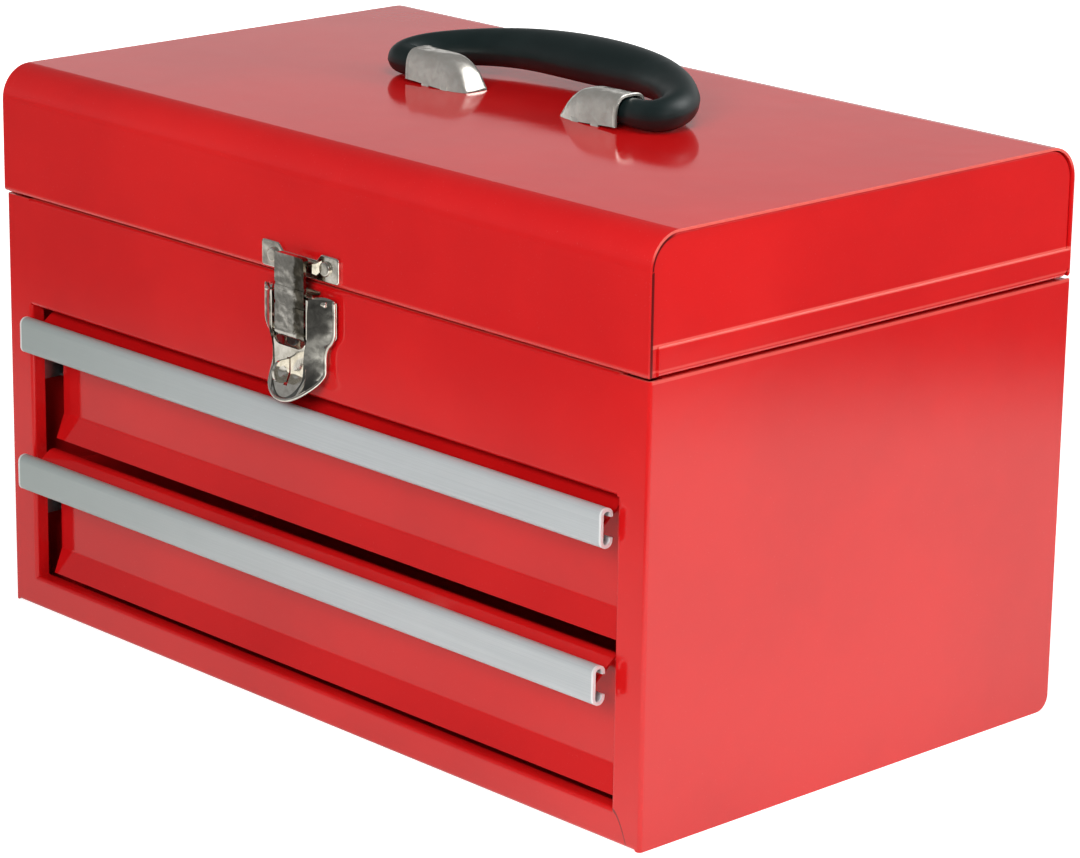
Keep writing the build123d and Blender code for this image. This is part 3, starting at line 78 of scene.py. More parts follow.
# ---- shaders ----
class Value:
    """One output of a node tree; arithmetic on it adds Math nodes."""

    def __init__(self, graph: "Graph", socket: bpy.types.NodeSocket) -> None:
        """Wraps a socket.

        Args:
            graph: The node tree's builder.
            socket: The output socket.
        """
        self.graph = graph
        self.socket = socket

    def math(self, operation: str, *others: "Number") -> "Value":
        """Adds a Math node with this value first.

        Args:
            operation: The Math node's operation.
            *others: The node's other inputs.

        Returns:
            The node's result.
        """
        return self.graph.math(operation, self, *others)

    def __add__(self, other: "Number") -> "Value":
        """This plus other."""
        return self.math("ADD", other)

    def __radd__(self, other: "Number") -> "Value":
        """Other plus this."""
        return self.graph.math("ADD", other, self)

    def __sub__(self, other: "Number") -> "Value":
        """This minus other."""
        return self.math("SUBTRACT", other)

    def __rsub__(self, other: "Number") -> "Value":
        """Other minus this."""
        return self.graph.math("SUBTRACT", other, self)

    def __mul__(self, other: "Number") -> "Value":
        """This times other."""
        return self.math("MULTIPLY", other)

    def __rmul__(self, other: "Number") -> "Value":
        """Other times this."""
        return self.graph.math("MULTIPLY", other, self)

    def __truediv__(self, other: "Number") -> "Value":
        """This divided by other."""
        return self.math("DIVIDE", other)

    def __rtruediv__(self, other: "Number") -> "Value":
        """Other divided by this."""
        return self.graph.math("DIVIDE", other, self)

    def __pow__(self, other: "Number") -> "Value":
        """This to the power of other."""
        return self.math("POWER", other)

    def __rpow__(self, other: "Number") -> "Value":
        """Other to the power of this."""
        return self.graph.math("POWER", other, self)

    def above(self, low: float, high: float) -> "Value":
        """Rises smoothly from 0 at low to 1 at high.

        Args:
            low: Where the rise starts.
            high: Where it ends.

        Returns:
            The mask.
        """
        made = self.graph.node(
            "ShaderNodeMapRange",
            {"Value": self, "From Min": low, "From Max": high},
            interpolation_type="SMOOTHSTEP",
        )
        return Value(self.graph, made.outputs["Result"])

    def within(self, low: float, high: float, soft: float) -> "Value":
        """1 between two limits and 0 outside them.

        Args:
            low: The lower limit.
            high: The upper limit.
            soft: The width of both transitions.

        Returns:
            The mask.
        """
        return self.above(low - soft, low) * (1.0 - self.above(high, high + soft))


Number = Union[Value, float]


@dataclass(frozen=True)
class Noise:
    """One layer of smooth noise: waves per metre, finer layers in it, their weight, its bend.

    The span is the part of the noise over which a mask made of it rises.
    """

    # the mean of any layer
    MIDDLE: ClassVar[float] = 0.5

    scale: float
    detail: float = 3.0
    roughness: float = 0.5
    distortion: float = 0.0
    span: Span = (0.0, 1.0)

    def finer(self, times: float) -> "Noise":
        """The same layer with so many times as many waves."""
        return replace(self, scale=self.scale * times)


class Graph:
    """Builds one node tree."""

    # sockets of a Mix node's colours, which share their names with those of its numbers
    MIX_LOW, MIX_HIGH, MIX_COLOUR = 6, 7, 2

    def __init__(self, tree: bpy.types.NodeTree) -> None:
        """Empties a tree and starts to fill it.

        Args:
            tree: A material's or the world's node tree.
        """
        self.tree = tree
        tree.nodes.clear()

    def node(
        self, kind: str, inputs: dict[Union[str, int], Any] | None = None, **settings: Any
    ) -> bpy.types.Node:
        """Adds a node.

        Args:
            kind: Blender's name of the node's type.
            inputs: Values or links of its sockets, by name or number.
            **settings: The node's own properties, which are set first.

        Returns:
            The node.
        """
        made = self.tree.nodes.new(kind)
        for name, value in settings.items():
            setattr(made, name, value)
        for name, value in (inputs or {}).items():
            socket = made.inputs[name]
            if isinstance(value, Value):
                self.tree.links.new(value.socket, socket)
            elif isinstance(value, bpy.types.NodeSocket):
                self.tree.links.new(value, socket)
            elif isinstance(value, tuple) and len(value) == 3 and socket.type == "RGBA":
                socket.default_value = (*value, 1.0)
            else:
                socket.default_value = value
        return made

    def math(self, operation: str, *values: Number) -> Value:
        """Adds a Math node.

        Args:
            operation: Its operation.
            *values: Its inputs in order.

        Returns:
            The node's result.
        """
        made = self.node("ShaderNodeMath", dict(enumerate(values)), operation=operation)
        return Value(self, made.outputs[0])

    def dot(self, vector: bpy.types.NodeSocket, way: Point) -> Value:
        """The dot product of a linked vector and a fixed one.

        Args:
            vector: The linked vector.
            way: The fixed vector.

        Returns:
            The product.
        """
        made = self.node("ShaderNodeVectorMath", {0: vector, 1: way}, operation="DOT_PRODUCT")
        return Value(self, made.outputs["Value"])

    def scaled(self, vector: bpy.types.NodeSocket, factors: Point) -> bpy.types.NodeSocket:
        """A linked vector times a fixed one, part by part.

        Args:
            vector: The linked vector.
            factors: The fixed vector.

        Returns:
            The product's socket.
        """
        made = self.node("ShaderNodeVectorMath", {0: vector, 1: factors}, operation="MULTIPLY")
        return made.outputs["Vector"]

    def place(self) -> bpy.types.NodeSocket:
        """The point on the object's own coordinates, which move with its body."""
        return self.node("ShaderNodeTexCoord").outputs["Object"]

    def parts(self, vector: bpy.types.NodeSocket) -> tuple[Value, Value, Value]:
        """The three parts of a linked vector.

        Args:
            vector: The linked vector.

        Returns:
            Its X, Y and Z.
        """
        made = self.node("ShaderNodeSeparateXYZ", {0: vector})
        return tuple(Value(self, socket) for socket in made.outputs)

    def noise(self, vector: bpy.types.NodeSocket, layer: Noise) -> Value:
        """Smooth noise from 0 to 1.

        Args:
            vector: Where it is read.
            layer: What it is like.

        Returns:
            The noise.
        """
        made = self.node(
            "ShaderNodeTexNoise",
            {
                "Vector": vector,
                "Scale": layer.scale,
                "Detail": layer.detail,
                "Roughness": layer.roughness,
                "Distortion": layer.distortion,
            },
        )
        return Value(self, made.outputs["Fac"])

    def patches(self, vector: bpy.types.NodeSocket, layer: Noise) -> Value:
        """Where a layer of noise is high, from 0 below its span to 1 above it.

        Args:
            vector: Where it is read.
            layer: What it is like.

        Returns:
            The mask.
        """
        return self.noise(vector, layer).above(*layer.span)

    def mix(self, factor: Number, low: Tint, high: Tint) -> bpy.types.NodeSocket:
        """A colour between two.

        Args:
            factor: 0 for the first, 1 for the second.
            low: The first colour.
            high: The second colour.

        Returns:
            The mixed colour's socket.
        """
        made = self.node(
            "ShaderNodeMix",
            {0: factor, self.MIX_LOW: low, self.MIX_HIGH: high},
            data_type="RGBA",
            clamp_factor=True,
        )
        return made.outputs[self.MIX_COLOUR]

    def bump(self, height: Value, distance: float) -> bpy.types.NodeSocket:
        """A normal bent by a height.

        Args:
            height: The height, where 1 is the distance.
            distance: The height of 1, in metres.

        Returns:
            The normal's socket.
        """
        made = self.node("ShaderNodeBump", {"Height": height, "Distance": distance})
        return made.outputs["Normal"]


class Slot(Enum):
    """The record's material slots."""

    PAINT = "red_paint"
    NICKEL = "nickel_plate"
    ZINC = "zinc_steel"
    ALUMINIUM = "satin_aluminium"
    RUBBER = "black_rubber"
    NYLON = "black_nylon"


@dataclass(frozen=True)
class Finish:
    """A finish that makes its own Principled material, of the same name."""

    name: str

    def inputs(self, g: Graph) -> dict[str, Any]:
        """Builds what goes into the shader.

        Args:
            g: The builder of the material's nodes.

        Returns:
            Values or links of the Principled shader's sockets, by name.
        """
        raise NotImplementedError

    def material(self) -> bpy.types.Material:
        """Makes the material."""
        made = bpy.data.materials.new(self.name)
        made.use_nodes = True
        g = Graph(made.node_tree)
        shader = g.node("ShaderNodeBsdfPrincipled", self.inputs(g))
        g.node("ShaderNodeOutputMaterial", {"Surface": shader.outputs[0]})
        return made


@dataclass(frozen=True)
class LevelLine:
    """A level line of painted highlight, between two heights in metres."""

    low: float
    high: float
    soft: float
    strength: float

    def mask(self, z: Value) -> Value:
        """The line's mask at a height."""
        return z.within(self.low, self.high, self.soft) * self.strength


@dataclass(frozen=True)
class LidEndJointShade:
    """Painted shade in the joint in front of each lid end, upright and then round the wrap's bend.
    """

    face: Span = (0.1775, 0.1778)
    foot: Span = (0.1694, 0.1697)
    ahead: Span = (-0.1086, -0.1068)
    straight_top: Span = (0.2055, 0.2060)
    bend_y: float = -0.0962
    bend_z: float = 0.2059
    bend_reach: Span = (0.0109, 0.0123)
    bend_rear: Span = (-0.004, 0.0)
    bend_foot: Span = (0.0, 0.0004)
    soft: float = 0.0002
    strength: float = 0.88

    def mask(self, x: Value, y: Value, z: Value) -> Value:
        """The joint's mask at a point."""
        upright = y.within(*self.ahead, self.soft) * (1.0 - z.above(*self.straight_top))
        across, up = y - self.bend_y, z - self.bend_z
        reach = (across * across + up * up) ** 0.5
        bend = reach.within(*self.bend_reach, self.soft) * (1.0 - across.above(*self.bend_rear))
        bend = bend * up.above(*self.bend_foot)
        side = x.math("ABSOLUTE").above(*self.face) * z.above(*self.foot)
        return side * (upright + bend) * self.strength


@dataclass(frozen=True)
class MitreSeamShade:
    """Painted shade along the curved seam at the case's lower right corner, where the stile meets
    the rail.
    """

    start: float = 0.1655
    end: float = 0.1736
    reach: float = 0.008
    height: float = 0.0125
    curve: float = 1.85
    half_width: float = 0.035
    soft: float = 0.02
    end_soft: float = 0.0002
    behind: Span = (-0.1084, -0.1080)
    strength: float = 0.8

    def mask(self, x: Value, y: Value, z: Value) -> Value:
        """The seam's mask at a point."""
        share = ((x - self.start) / self.reach).math("MAXIMUM", 0.0) ** self.curve
        off = share - (1.0 - z / self.height)
        seam = off.within(-self.half_width, self.half_width, self.soft)
        seam = seam * x.within(self.start, self.end, self.end_soft)
        below = 1.0 - z.above(self.height, self.height + self.end_soft)
        return seam * (1.0 - y.above(*self.behind)) * below * self.strength


@dataclass(frozen=True)
class GlossPaint(Finish):
    """Red stoving enamel on steel sheet: a faint drift of tone, fine dust and orange peel."""

    name: str = "gloss_red_enamel"
    deep: Colour = (0.55, 0.0055, 0.0070)
    bright: Colour = (0.64, 0.0085, 0.0090)
    # painted highlight on edges and creases, and painted shade in each joint
    painted_highlight: Colour = (0.80, 0.150, 0.120)
    shade: Colour = (0.085, 0.001, 0.001)
    dust: Colour = (0.85, 0.55, 0.53)
    roughness: float = 0.085
    ior: float = 1.5
    # noise of the tone, the dust and the gloss, and how much dust and haze count
    drift: Noise = Noise(9.0, 4.0, 0.55, span=(0.3, 0.7))
    specks: Noise = Noise(1400.0, 2.0, span=(0.66, 0.78))
    haze: Noise = Noise(34.0, 4.0, 0.6, span=(0.35, 0.75))
    specks_tint: float = 0.05
    specks_rough: float = 0.05
    haze_rough: float = 0.035
    # orange peel: its height, its fine and broad waves, and how much higher the broad ones are
    peel: float = 0.000012
    fine_peel: Noise = Noise(420.0, 2.0, 0.4)
    broad_peel: Noise = Noise(95.0, 1.0, 0.3)
    broad_share: float = 2.2
    # painted highlight on the wrap's cut edge, flush with the box's widest faces, and where it
    # rises
    cut_face: Span = (0.17985, 0.17992)
    cut_rise: Span = (0.2085, 0.2135)
    cut_strength: float = 0.78
    # the outer faces of the lid's and the case's ends, behind the wrap
    end_face: Span = (0.1788, 0.1790)
    end_front: Span = (-0.1078, -0.1072)
    # painted highlight lines: crease of the band, foot of the lid's end, rim of the case's side
    end_lines: tuple[LevelLine, ...] = (
        LevelLine(0.17945, 0.1805, 0.0003, 0.72),
        LevelLine(0.1712, 0.1717, 0.0003, 0.38),
        LevelLine(0.1675, 0.1685, 0.0003, 0.45),
    )
    # painted highlight lines: foot of the lid's front, and the joint below it
    front_behind: Span = (-0.1064, -0.1060)
    front_lines: tuple[LevelLine, ...] = (
        LevelLine(0.1699, 0.1712, 0.0004, 0.15),
        LevelLine(0.16845, 0.16955, 0.00005, 0.5),
    )
    lid_joint_shade: LidEndJointShade = LidEndJointShade()
    corner_seam_shade: MitreSeamShade = MitreSeamShade()

    def painted_highlights(self, x: Value, y: Value, z: Value) -> Value:
        """Where highlights are painted: cut edges, creases, and the edges along the lid's joint.

        Args:
            x: Distance from the middle, in metres.
            y: Place from front to back.
            z: Height.

        Returns:
            The mask.
        """
        mask = x.above(*self.cut_face) * z.above(*self.cut_rise) * self.cut_strength
        end = x.above(*self.end_face) * y.above(*self.end_front)
        for line in self.end_lines:
            mask = mask + end * line.mask(z)
        front = 1.0 - y.above(*self.front_behind)
        for line in self.front_lines:
            mask = mask + front * line.mask(z)
        return mask

    def inputs(self, g: Graph) -> dict[str, Any]:
        """The enamel, with painted highlights on its edges and painted shade in each joint."""
        place = g.place()
        x, y, z = g.parts(place)
        dust = g.patches(place, self.specks)
        colour = g.mix(g.patches(place, self.drift), self.deep, self.bright)
        colour = g.mix(dust * self.specks_tint, colour, self.dust)
        # painted highlights on the cut edges, creases and the lid's joint
        colour = g.mix(self.painted_highlights(x.math("ABSOLUTE"), y, z), colour, self.painted_highlight)
        # painted shade in the joint before each lid end and along the corner seam
        joint_shade = self.lid_joint_shade.mask(x, y, z) + self.corner_seam_shade.mask(x, y, z)
        colour = g.mix(joint_shade, colour, self.shade)
        haze = g.patches(place, self.haze) * self.haze_rough
        peel = g.noise(place, self.fine_peel) + g.noise(place, self.broad_peel) * self.broad_share
        return {
            "Base Color": colour,
            "Roughness": self.roughness + haze + dust * self.specks_rough,
            "Metallic": 0.0,
            "IOR": self.ior,
            "Normal": g.bump(peel, self.peel),
        }


@dataclass(frozen=True)
class Plating(Finish):
    """Nickel or zinc plating on pressed steel, mottled, faintly dented and stained.

    A lean bends the shading as if the face turned down by that slope, painted shade darkens
    the plating beyond an optional place along X, and metal below 1 is a hazy plating.
    """

    light: Colour
    dark: Colour
    roughness: float
    mottle: float
    dents: float
    scale: float = 260.0
    lean: float = 0.0
    metal: float = 1.0
    # layers of noise, with their waves as shares of the scale
    mottles: Noise = Noise(1.0, 5.0, 0.62, 0.6, span=(0.35, 0.72))
    clouds: Noise = Noise(0.28, 3.0, 0.5, span=(0.3, 0.75))
    pits: Noise = Noise(5.0, 2.0, 0.5, span=(0.62, 0.75))
    waves: Noise = Noise(0.6, 1.0, 0.4)
    # what mottles and clouds count for in the stain, and what makes the plating rough
    mottles_stain: float = 0.65
    clouds_stain: float = 0.35
    rough_span: Span = (0.3, 0.8)
    pits_rough: float = 0.05
    # height of each layer, in dents
    waves_height: float = 3.2
    clouds_height: float = 1.2
    mottles_height: float = 0.3
    pits_depth: float = 0.03
    # painted shade beyond a place along X: its edge, how far that wanders, what it adds, and what
    # is left of the stain
    painted_shade_from: float | None = None
    painted_shade_soft: float = 0.0025
    painted_shade_wander: float = 0.006
    painted_shade_weight: float = 0.75
    stain_left: float = 0.5

    def inputs(self, g: Graph) -> dict[str, Any]:
        """The plating, stained at random, with painted shade beyond a place along X where one is
        given.
        """
        place = g.place()
        mottles = self.mottles.finer(self.scale)
        clouds = self.clouds.finer(self.scale)
        mottle, cloud = g.noise(place, mottles), g.noise(place, clouds)
        pits = g.patches(place, self.pits.finer(self.scale))
        stain = mottle.above(*mottles.span) * self.mottles_stain
        stain = stain + cloud.above(*clouds.span) * self.clouds_stain
        # painted shade: darker beyond a place along X
        if self.painted_shade_from is not None:
            across = g.parts(place)[0] + (mottle - Noise.MIDDLE) * self.painted_shade_wander
            painted_shade = across.above(self.painted_shade_from, self.painted_shade_from + self.painted_shade_soft)
            stain = stain * self.stain_left + painted_shade * self.painted_shade_weight
        rough = mottle.above(*self.rough_span) * self.mottle + pits * self.pits_rough
        height = g.noise(place, self.waves.finer(self.scale)) * self.waves_height
        height = height + cloud * self.clouds_height + mottle * self.mottles_height
        height = height - pits * self.pits_depth
        if self.lean:
            height = height + g.parts(place)[2] * (self.lean / self.dents)
        return {
            "Base Color": g.mix(stain, self.light, self.dark),
            "Roughness": self.roughness + rough,
            "Metallic": self.metal,
            "Normal": g.bump(height, self.dents),
        }


@dataclass(frozen=True)
class SatinAluminium(Finish):
    """Drawn aluminium section with a matt anodised face and bright sawn ends."""

    name: str = "satin_anodised_aluminium"
    light: Colour = (0.60, 0.63, 0.64)
    dark: Colour = (0.50, 0.535, 0.55)
    # painted shade: a darker tone towards the left end, away from the light
    painted_shade: Colour = (0.385, 0.435, 0.42)
    cut: Colour = (0.93, 0.92, 0.92)
    painted_shade_span: Span = (-0.21, 0.06)
    cut_face: Span = (0.1634, 0.1637)
    cut_strength: float = 0.8
    roughness: float = 0.42
    metal: float = 0.35
    ior: float = 1.5
    # drawing lines along X: waves per metre each way, and the noise that they stretch
    line_waves: Point = (14.0, 2600.0, 2600.0)
    lines: Noise = Noise(1.0, 3.0, 0.6, span=(0.3, 0.7))
    cloud_stretch: Point = (0.35, 1.0, 1.0)
    clouds: Noise = Noise(60.0, 3.0, 0.5, span=(0.4, 0.7))
    grain: Noise = Noise(2600.0, 1.0)
    # what lines and clouds count for in the tone and in the roughness
    tone_share: float = 0.45
    lines_rough: float = 0.1
    clouds_rough: float = 0.06
    # depth of the lines, and what lines and grain count for in it
    depth: float = 0.000012
    lines_share: float = 0.7
    grain_share: float = 0.3

    def inputs(self, g: Graph) -> dict[str, Any]:
        """The section, with painted shade towards the left."""
        place = g.place()
        x, _, _ = g.parts(place)
        lines = g.noise(g.scaled(place, self.line_waves), self.lines)
        cloud = g.noise(g.scaled(place, self.cloud_stretch), self.clouds)
        tone = lines.above(*self.lines.span) * self.tone_share + cloud * self.tone_share
        colour = g.mix(tone, self.light, self.dark)
        # painted shade towards the left
        colour = g.mix(1.0 - x.above(*self.painted_shade_span), colour, self.painted_shade)
        sawn = x.math("ABSOLUTE").above(*self.cut_face) * self.cut_strength
        rough = lines * self.lines_rough + cloud.above(*self.clouds.span) * self.clouds_rough
        height = lines * self.lines_share + g.noise(place, self.grain) * self.grain_share
        return {
            "Base Color": g.mix(sawn, colour, self.cut),
            "Roughness": self.roughness + rough,
            "Metallic": self.metal,
            "IOR": self.ior,
            "Normal": g.bump(height, self.depth),
        }


@dataclass(frozen=True)
class BlackMoulding(Finish):
    """Black rubber or nylon, moulded, with a fine grain and paler, smoother handled places."""

    tone: Colour
    worn: Colour
    roughness: float
    depth: float
    ior: float = 1.5
    grain: Noise = Noise(1900.0, 3.0, 0.6)
    handling: Noise = Noise(45.0, 4.0, 0.6, span=(0.42, 0.75))
    pores: float = 1500.0
    # what handling and grain count for in the tone and in the roughness
    handled_tint: float = 0.6
    grain_tint: float = 0.2
    handled_polish: float = 0.07
    grain_rough: float = 0.1
    # what grain and pores count for in the depth
    grain_share: float = 0.6
    pores_share: float = 0.4

    def inputs(self, g: Graph) -> dict[str, Any]:
        """The moulding."""
        place = g.place()
        grain = g.noise(place, self.grain)
        handled = g.patches(place, self.handling)
        pore = g.node("ShaderNodeTexVoronoi", {"Vector": place, "Scale": self.pores}, feature="F1")
        tone = handled * self.handled_tint + grain * self.grain_tint
        rough = self.roughness - handled * self.handled_polish + grain * self.grain_rough
        height = Value(g, pore.outputs["Distance"]) * self.pores_share
        return {
            "Base Color": g.mix(tone, self.tone, self.worn),
            "Roughness": rough,
            "Metallic": 0.0,
            "IOR": self.ior,
            "Normal": g.bump(grain * self.grain_share + height, self.depth),
        }


class Finishes:
    """The materials of the tool box: one for each slot of the record, and four variants."""

    NICKEL_LIGHT: Colour = (0.94, 0.91, 0.84)
    NICKEL_WORN: Colour = (0.62, 0.59, 0.52)

    def __init__(self) -> None:
        """Makes each material once and notes which CAD node takes which slot."""
        nickel = (self.NICKEL_LIGHT, self.NICKEL_WORN)
        of_slot: dict[Slot, Finish] = {
            Slot.PAINT: GlossPaint(),
            Slot.NICKEL: Plating(
                "worn_nickel_plate", *nickel, roughness=0.08, mottle=0.13, dents=0.00012, lean=0.09
            ),
            Slot.ZINC: Plating(
                "dull_zinc_steel",
                light=(0.34, 0.35, 0.36),
                dark=(0.22, 0.23, 0.24),
                roughness=0.36,
                mottle=0.14,
                dents=0.00001,
            ),
            Slot.ALUMINIUM: SatinAluminium(),
            Slot.RUBBER: BlackMoulding(
                "black_rubber_grip",
                tone=(0.003, 0.0085, 0.0085),
                worn=(0.010, 0.018, 0.018),
                roughness=0.38,
                depth=0.00004,
            ),
            Slot.NYLON: BlackMoulding(
                "black_nylon_block",
                tone=(0.011, 0.011, 0.012),
                worn=(0.03, 0.03, 0.03),
                roughness=0.52,
                depth=0.00003,
            ),
        }
        self.materials = {slot: finish.material() for slot, finish in of_slot.items()}
        self.lever = Plating(
            "pressed_nickel_lever", *nickel, roughness=0.10, mottle=0.14, dents=0.00012, lean=0.15
        ).material()
        # a lighter, less metallic copy of the nickel on the caps: painted light
        self.cap = Plating(
            "pressed_nickel_cap_painted_light",
            light=self.NICKEL_LIGHT,
            dark=(0.74, 0.70, 0.63),
            roughness=0.12,
            mottle=0.13,
            dents=0.00018,
            lean=-0.22,
            metal=0.88,
        ).material()
        # the link's right side takes painted shade
        self.link = Plating(
            "stamped_nickel_link",
            light=(0.84, 0.82, 0.77),
            dark=(0.150, 0.135, 0.105),
            roughness=0.09,
            mottle=0.1,
            dents=0.00013,
            scale=340.0,
            lean=0.03,
            painted_shade_from=0.0035,
        ).material()
        self.web = Plating(
            "shaded_nickel_web",
            light=(0.36, 0.355, 0.33),
            dark=(0.10, 0.10, 0.09),
            roughness=0.14,
            mottle=0.1,
            dents=0.00016,
        ).material()
        self.slot_of: dict[str, Slot] = {
            row["node"]: Slot(row["material_slot"]) for row in frame["record"]["subparts"]
        }

    def dress(
        self,
        piece: bpy.types.Object,
        slot: Slot,
        finish: bpy.types.Material | None = None,
    ) -> None:
        """Gives a piece one finish all over.

        Args:
            piece: A mesh object.
            slot: The finish's slot.
            finish: A variant of the slot's own finish.
        """
        piece.data.materials.clear()
        piece.data.materials.append(finish or self.materials[slot])

    def dress_nodes(self) -> None:
        """Gives every CAD node its finish."""
        variants = {"latch_lever": self.lever, "latch_link": self.link}
        for name, node in frame["nodes"].items():
            self.dress(node, self.slot_of[name], variants.get(name))
        LOG.info("dressed %d CAD nodes", len(frame["nodes"]))


# ---- meshes ----
def new_piece(name: str, mesh: bmesh.types.BMesh, smooth: bool = True) -> bpy.types.Object:
    """Turns a bmesh into an object of the scene.

    Args:
        name: The piece's name.
        mesh: Its mesh, which is freed.
        smooth: Whether its faces are shaded smooth.

    Returns:
        The object.
    """
    bmesh.ops.recalc_face_normals(mesh, faces=mesh.faces)
    data = bpy.data.meshes.new(name)
    mesh.to_mesh(data)
    mesh.free()
    for face in data.polygons:
        face.use_smooth = smooth
    made = bpy.data.objects.new(name, data)
    bpy.context.scene.collection.objects.link(made)
    return made


def smooth_rows(points: Sequence[Sequence[float]], steps: int) -> list[list[float]]:
    """A smooth line of numbers through given ones.

    Args:
        points: Rows of numbers, such as a path's sections.
        steps: New rows from each given row to the next.

    Returns:
        The denser rows, both ends included.
    """
    rows: list[list[float]] = []
    last = len(points) - 1
    for n in range(last):
        a, b, c, d = (points[min(max(n + k, 0), last)] for k in (-1, 0, 1, 2))
        for step in range(steps):
            t = step / steps
            rows.append(
                [
                    0.5
                    * (
                        2 * q
                        + (r - p) * t
                        + (2 * p - 5 * q + 4 * r - s) * t * t
                        + (3 * q - p - 3 * r + s) * t**3
                    )
                    for p, q, r, s in zip(a, b, c, d)
                ]
            )
    rows.append(list(points[-1]))
    return rows


def rings_to_mesh(rings: Iterable[Sequence[Vector]]) -> bmesh.types.BMesh:
    """Joins closed rings of points into a tube with closed ends.

    Args:
        rings: The rings, with as many points each.

    Returns:
        The tube's mesh.
    """
    mesh = bmesh.new()
    made = [[mesh.verts.new(p) for p in ring] for ring in rings]
    for before, after in zip(made, made[1:]):
        for n in range(len(before)):
            m = (n + 1) % len(before)
            mesh.faces.new((before[n], before[m], after[m], after[n]))
    mesh.faces.new(list(reversed(made[0])))
    mesh.faces.new(made[-1])
    return mesh


def add_block(mesh: bmesh.types.BMesh, low: Point, high: Point, edge: float) -> None:
    """Adds a block with rounded edges to a mesh.

    Args:
        mesh: The mesh.
        low: Its lowest corner.
        high: Its highest corner.
        edge: How much is cut off each edge.
    """
    size = [b - a for a, b in zip(low, high)]
    middle = Vector([(a + b) / 2 for a, b in zip(low, high)])
    placed = Matrix.Translation(middle) @ Matrix.Diagonal((*size, 1.0))
    made = bmesh.ops.create_cube(mesh, size=1.0, matrix=placed)
    edges = list({e for v in made["verts"] for e in v.link_edges})
    bmesh.ops.bevel(mesh, geom=edges, offset=edge, segments=2, affect="EDGES", profile=0.5)


def crisp(piece: bpy.types.Object, degrees: float) -> None:
    """Keeps a smooth piece's sharper edges sharp.

    Args:
        piece: The piece.
        degrees: The angle from which an edge counts as sharp.
    """
    piece.data.set_sharp_from_angle(angle=math.radians(degrees))


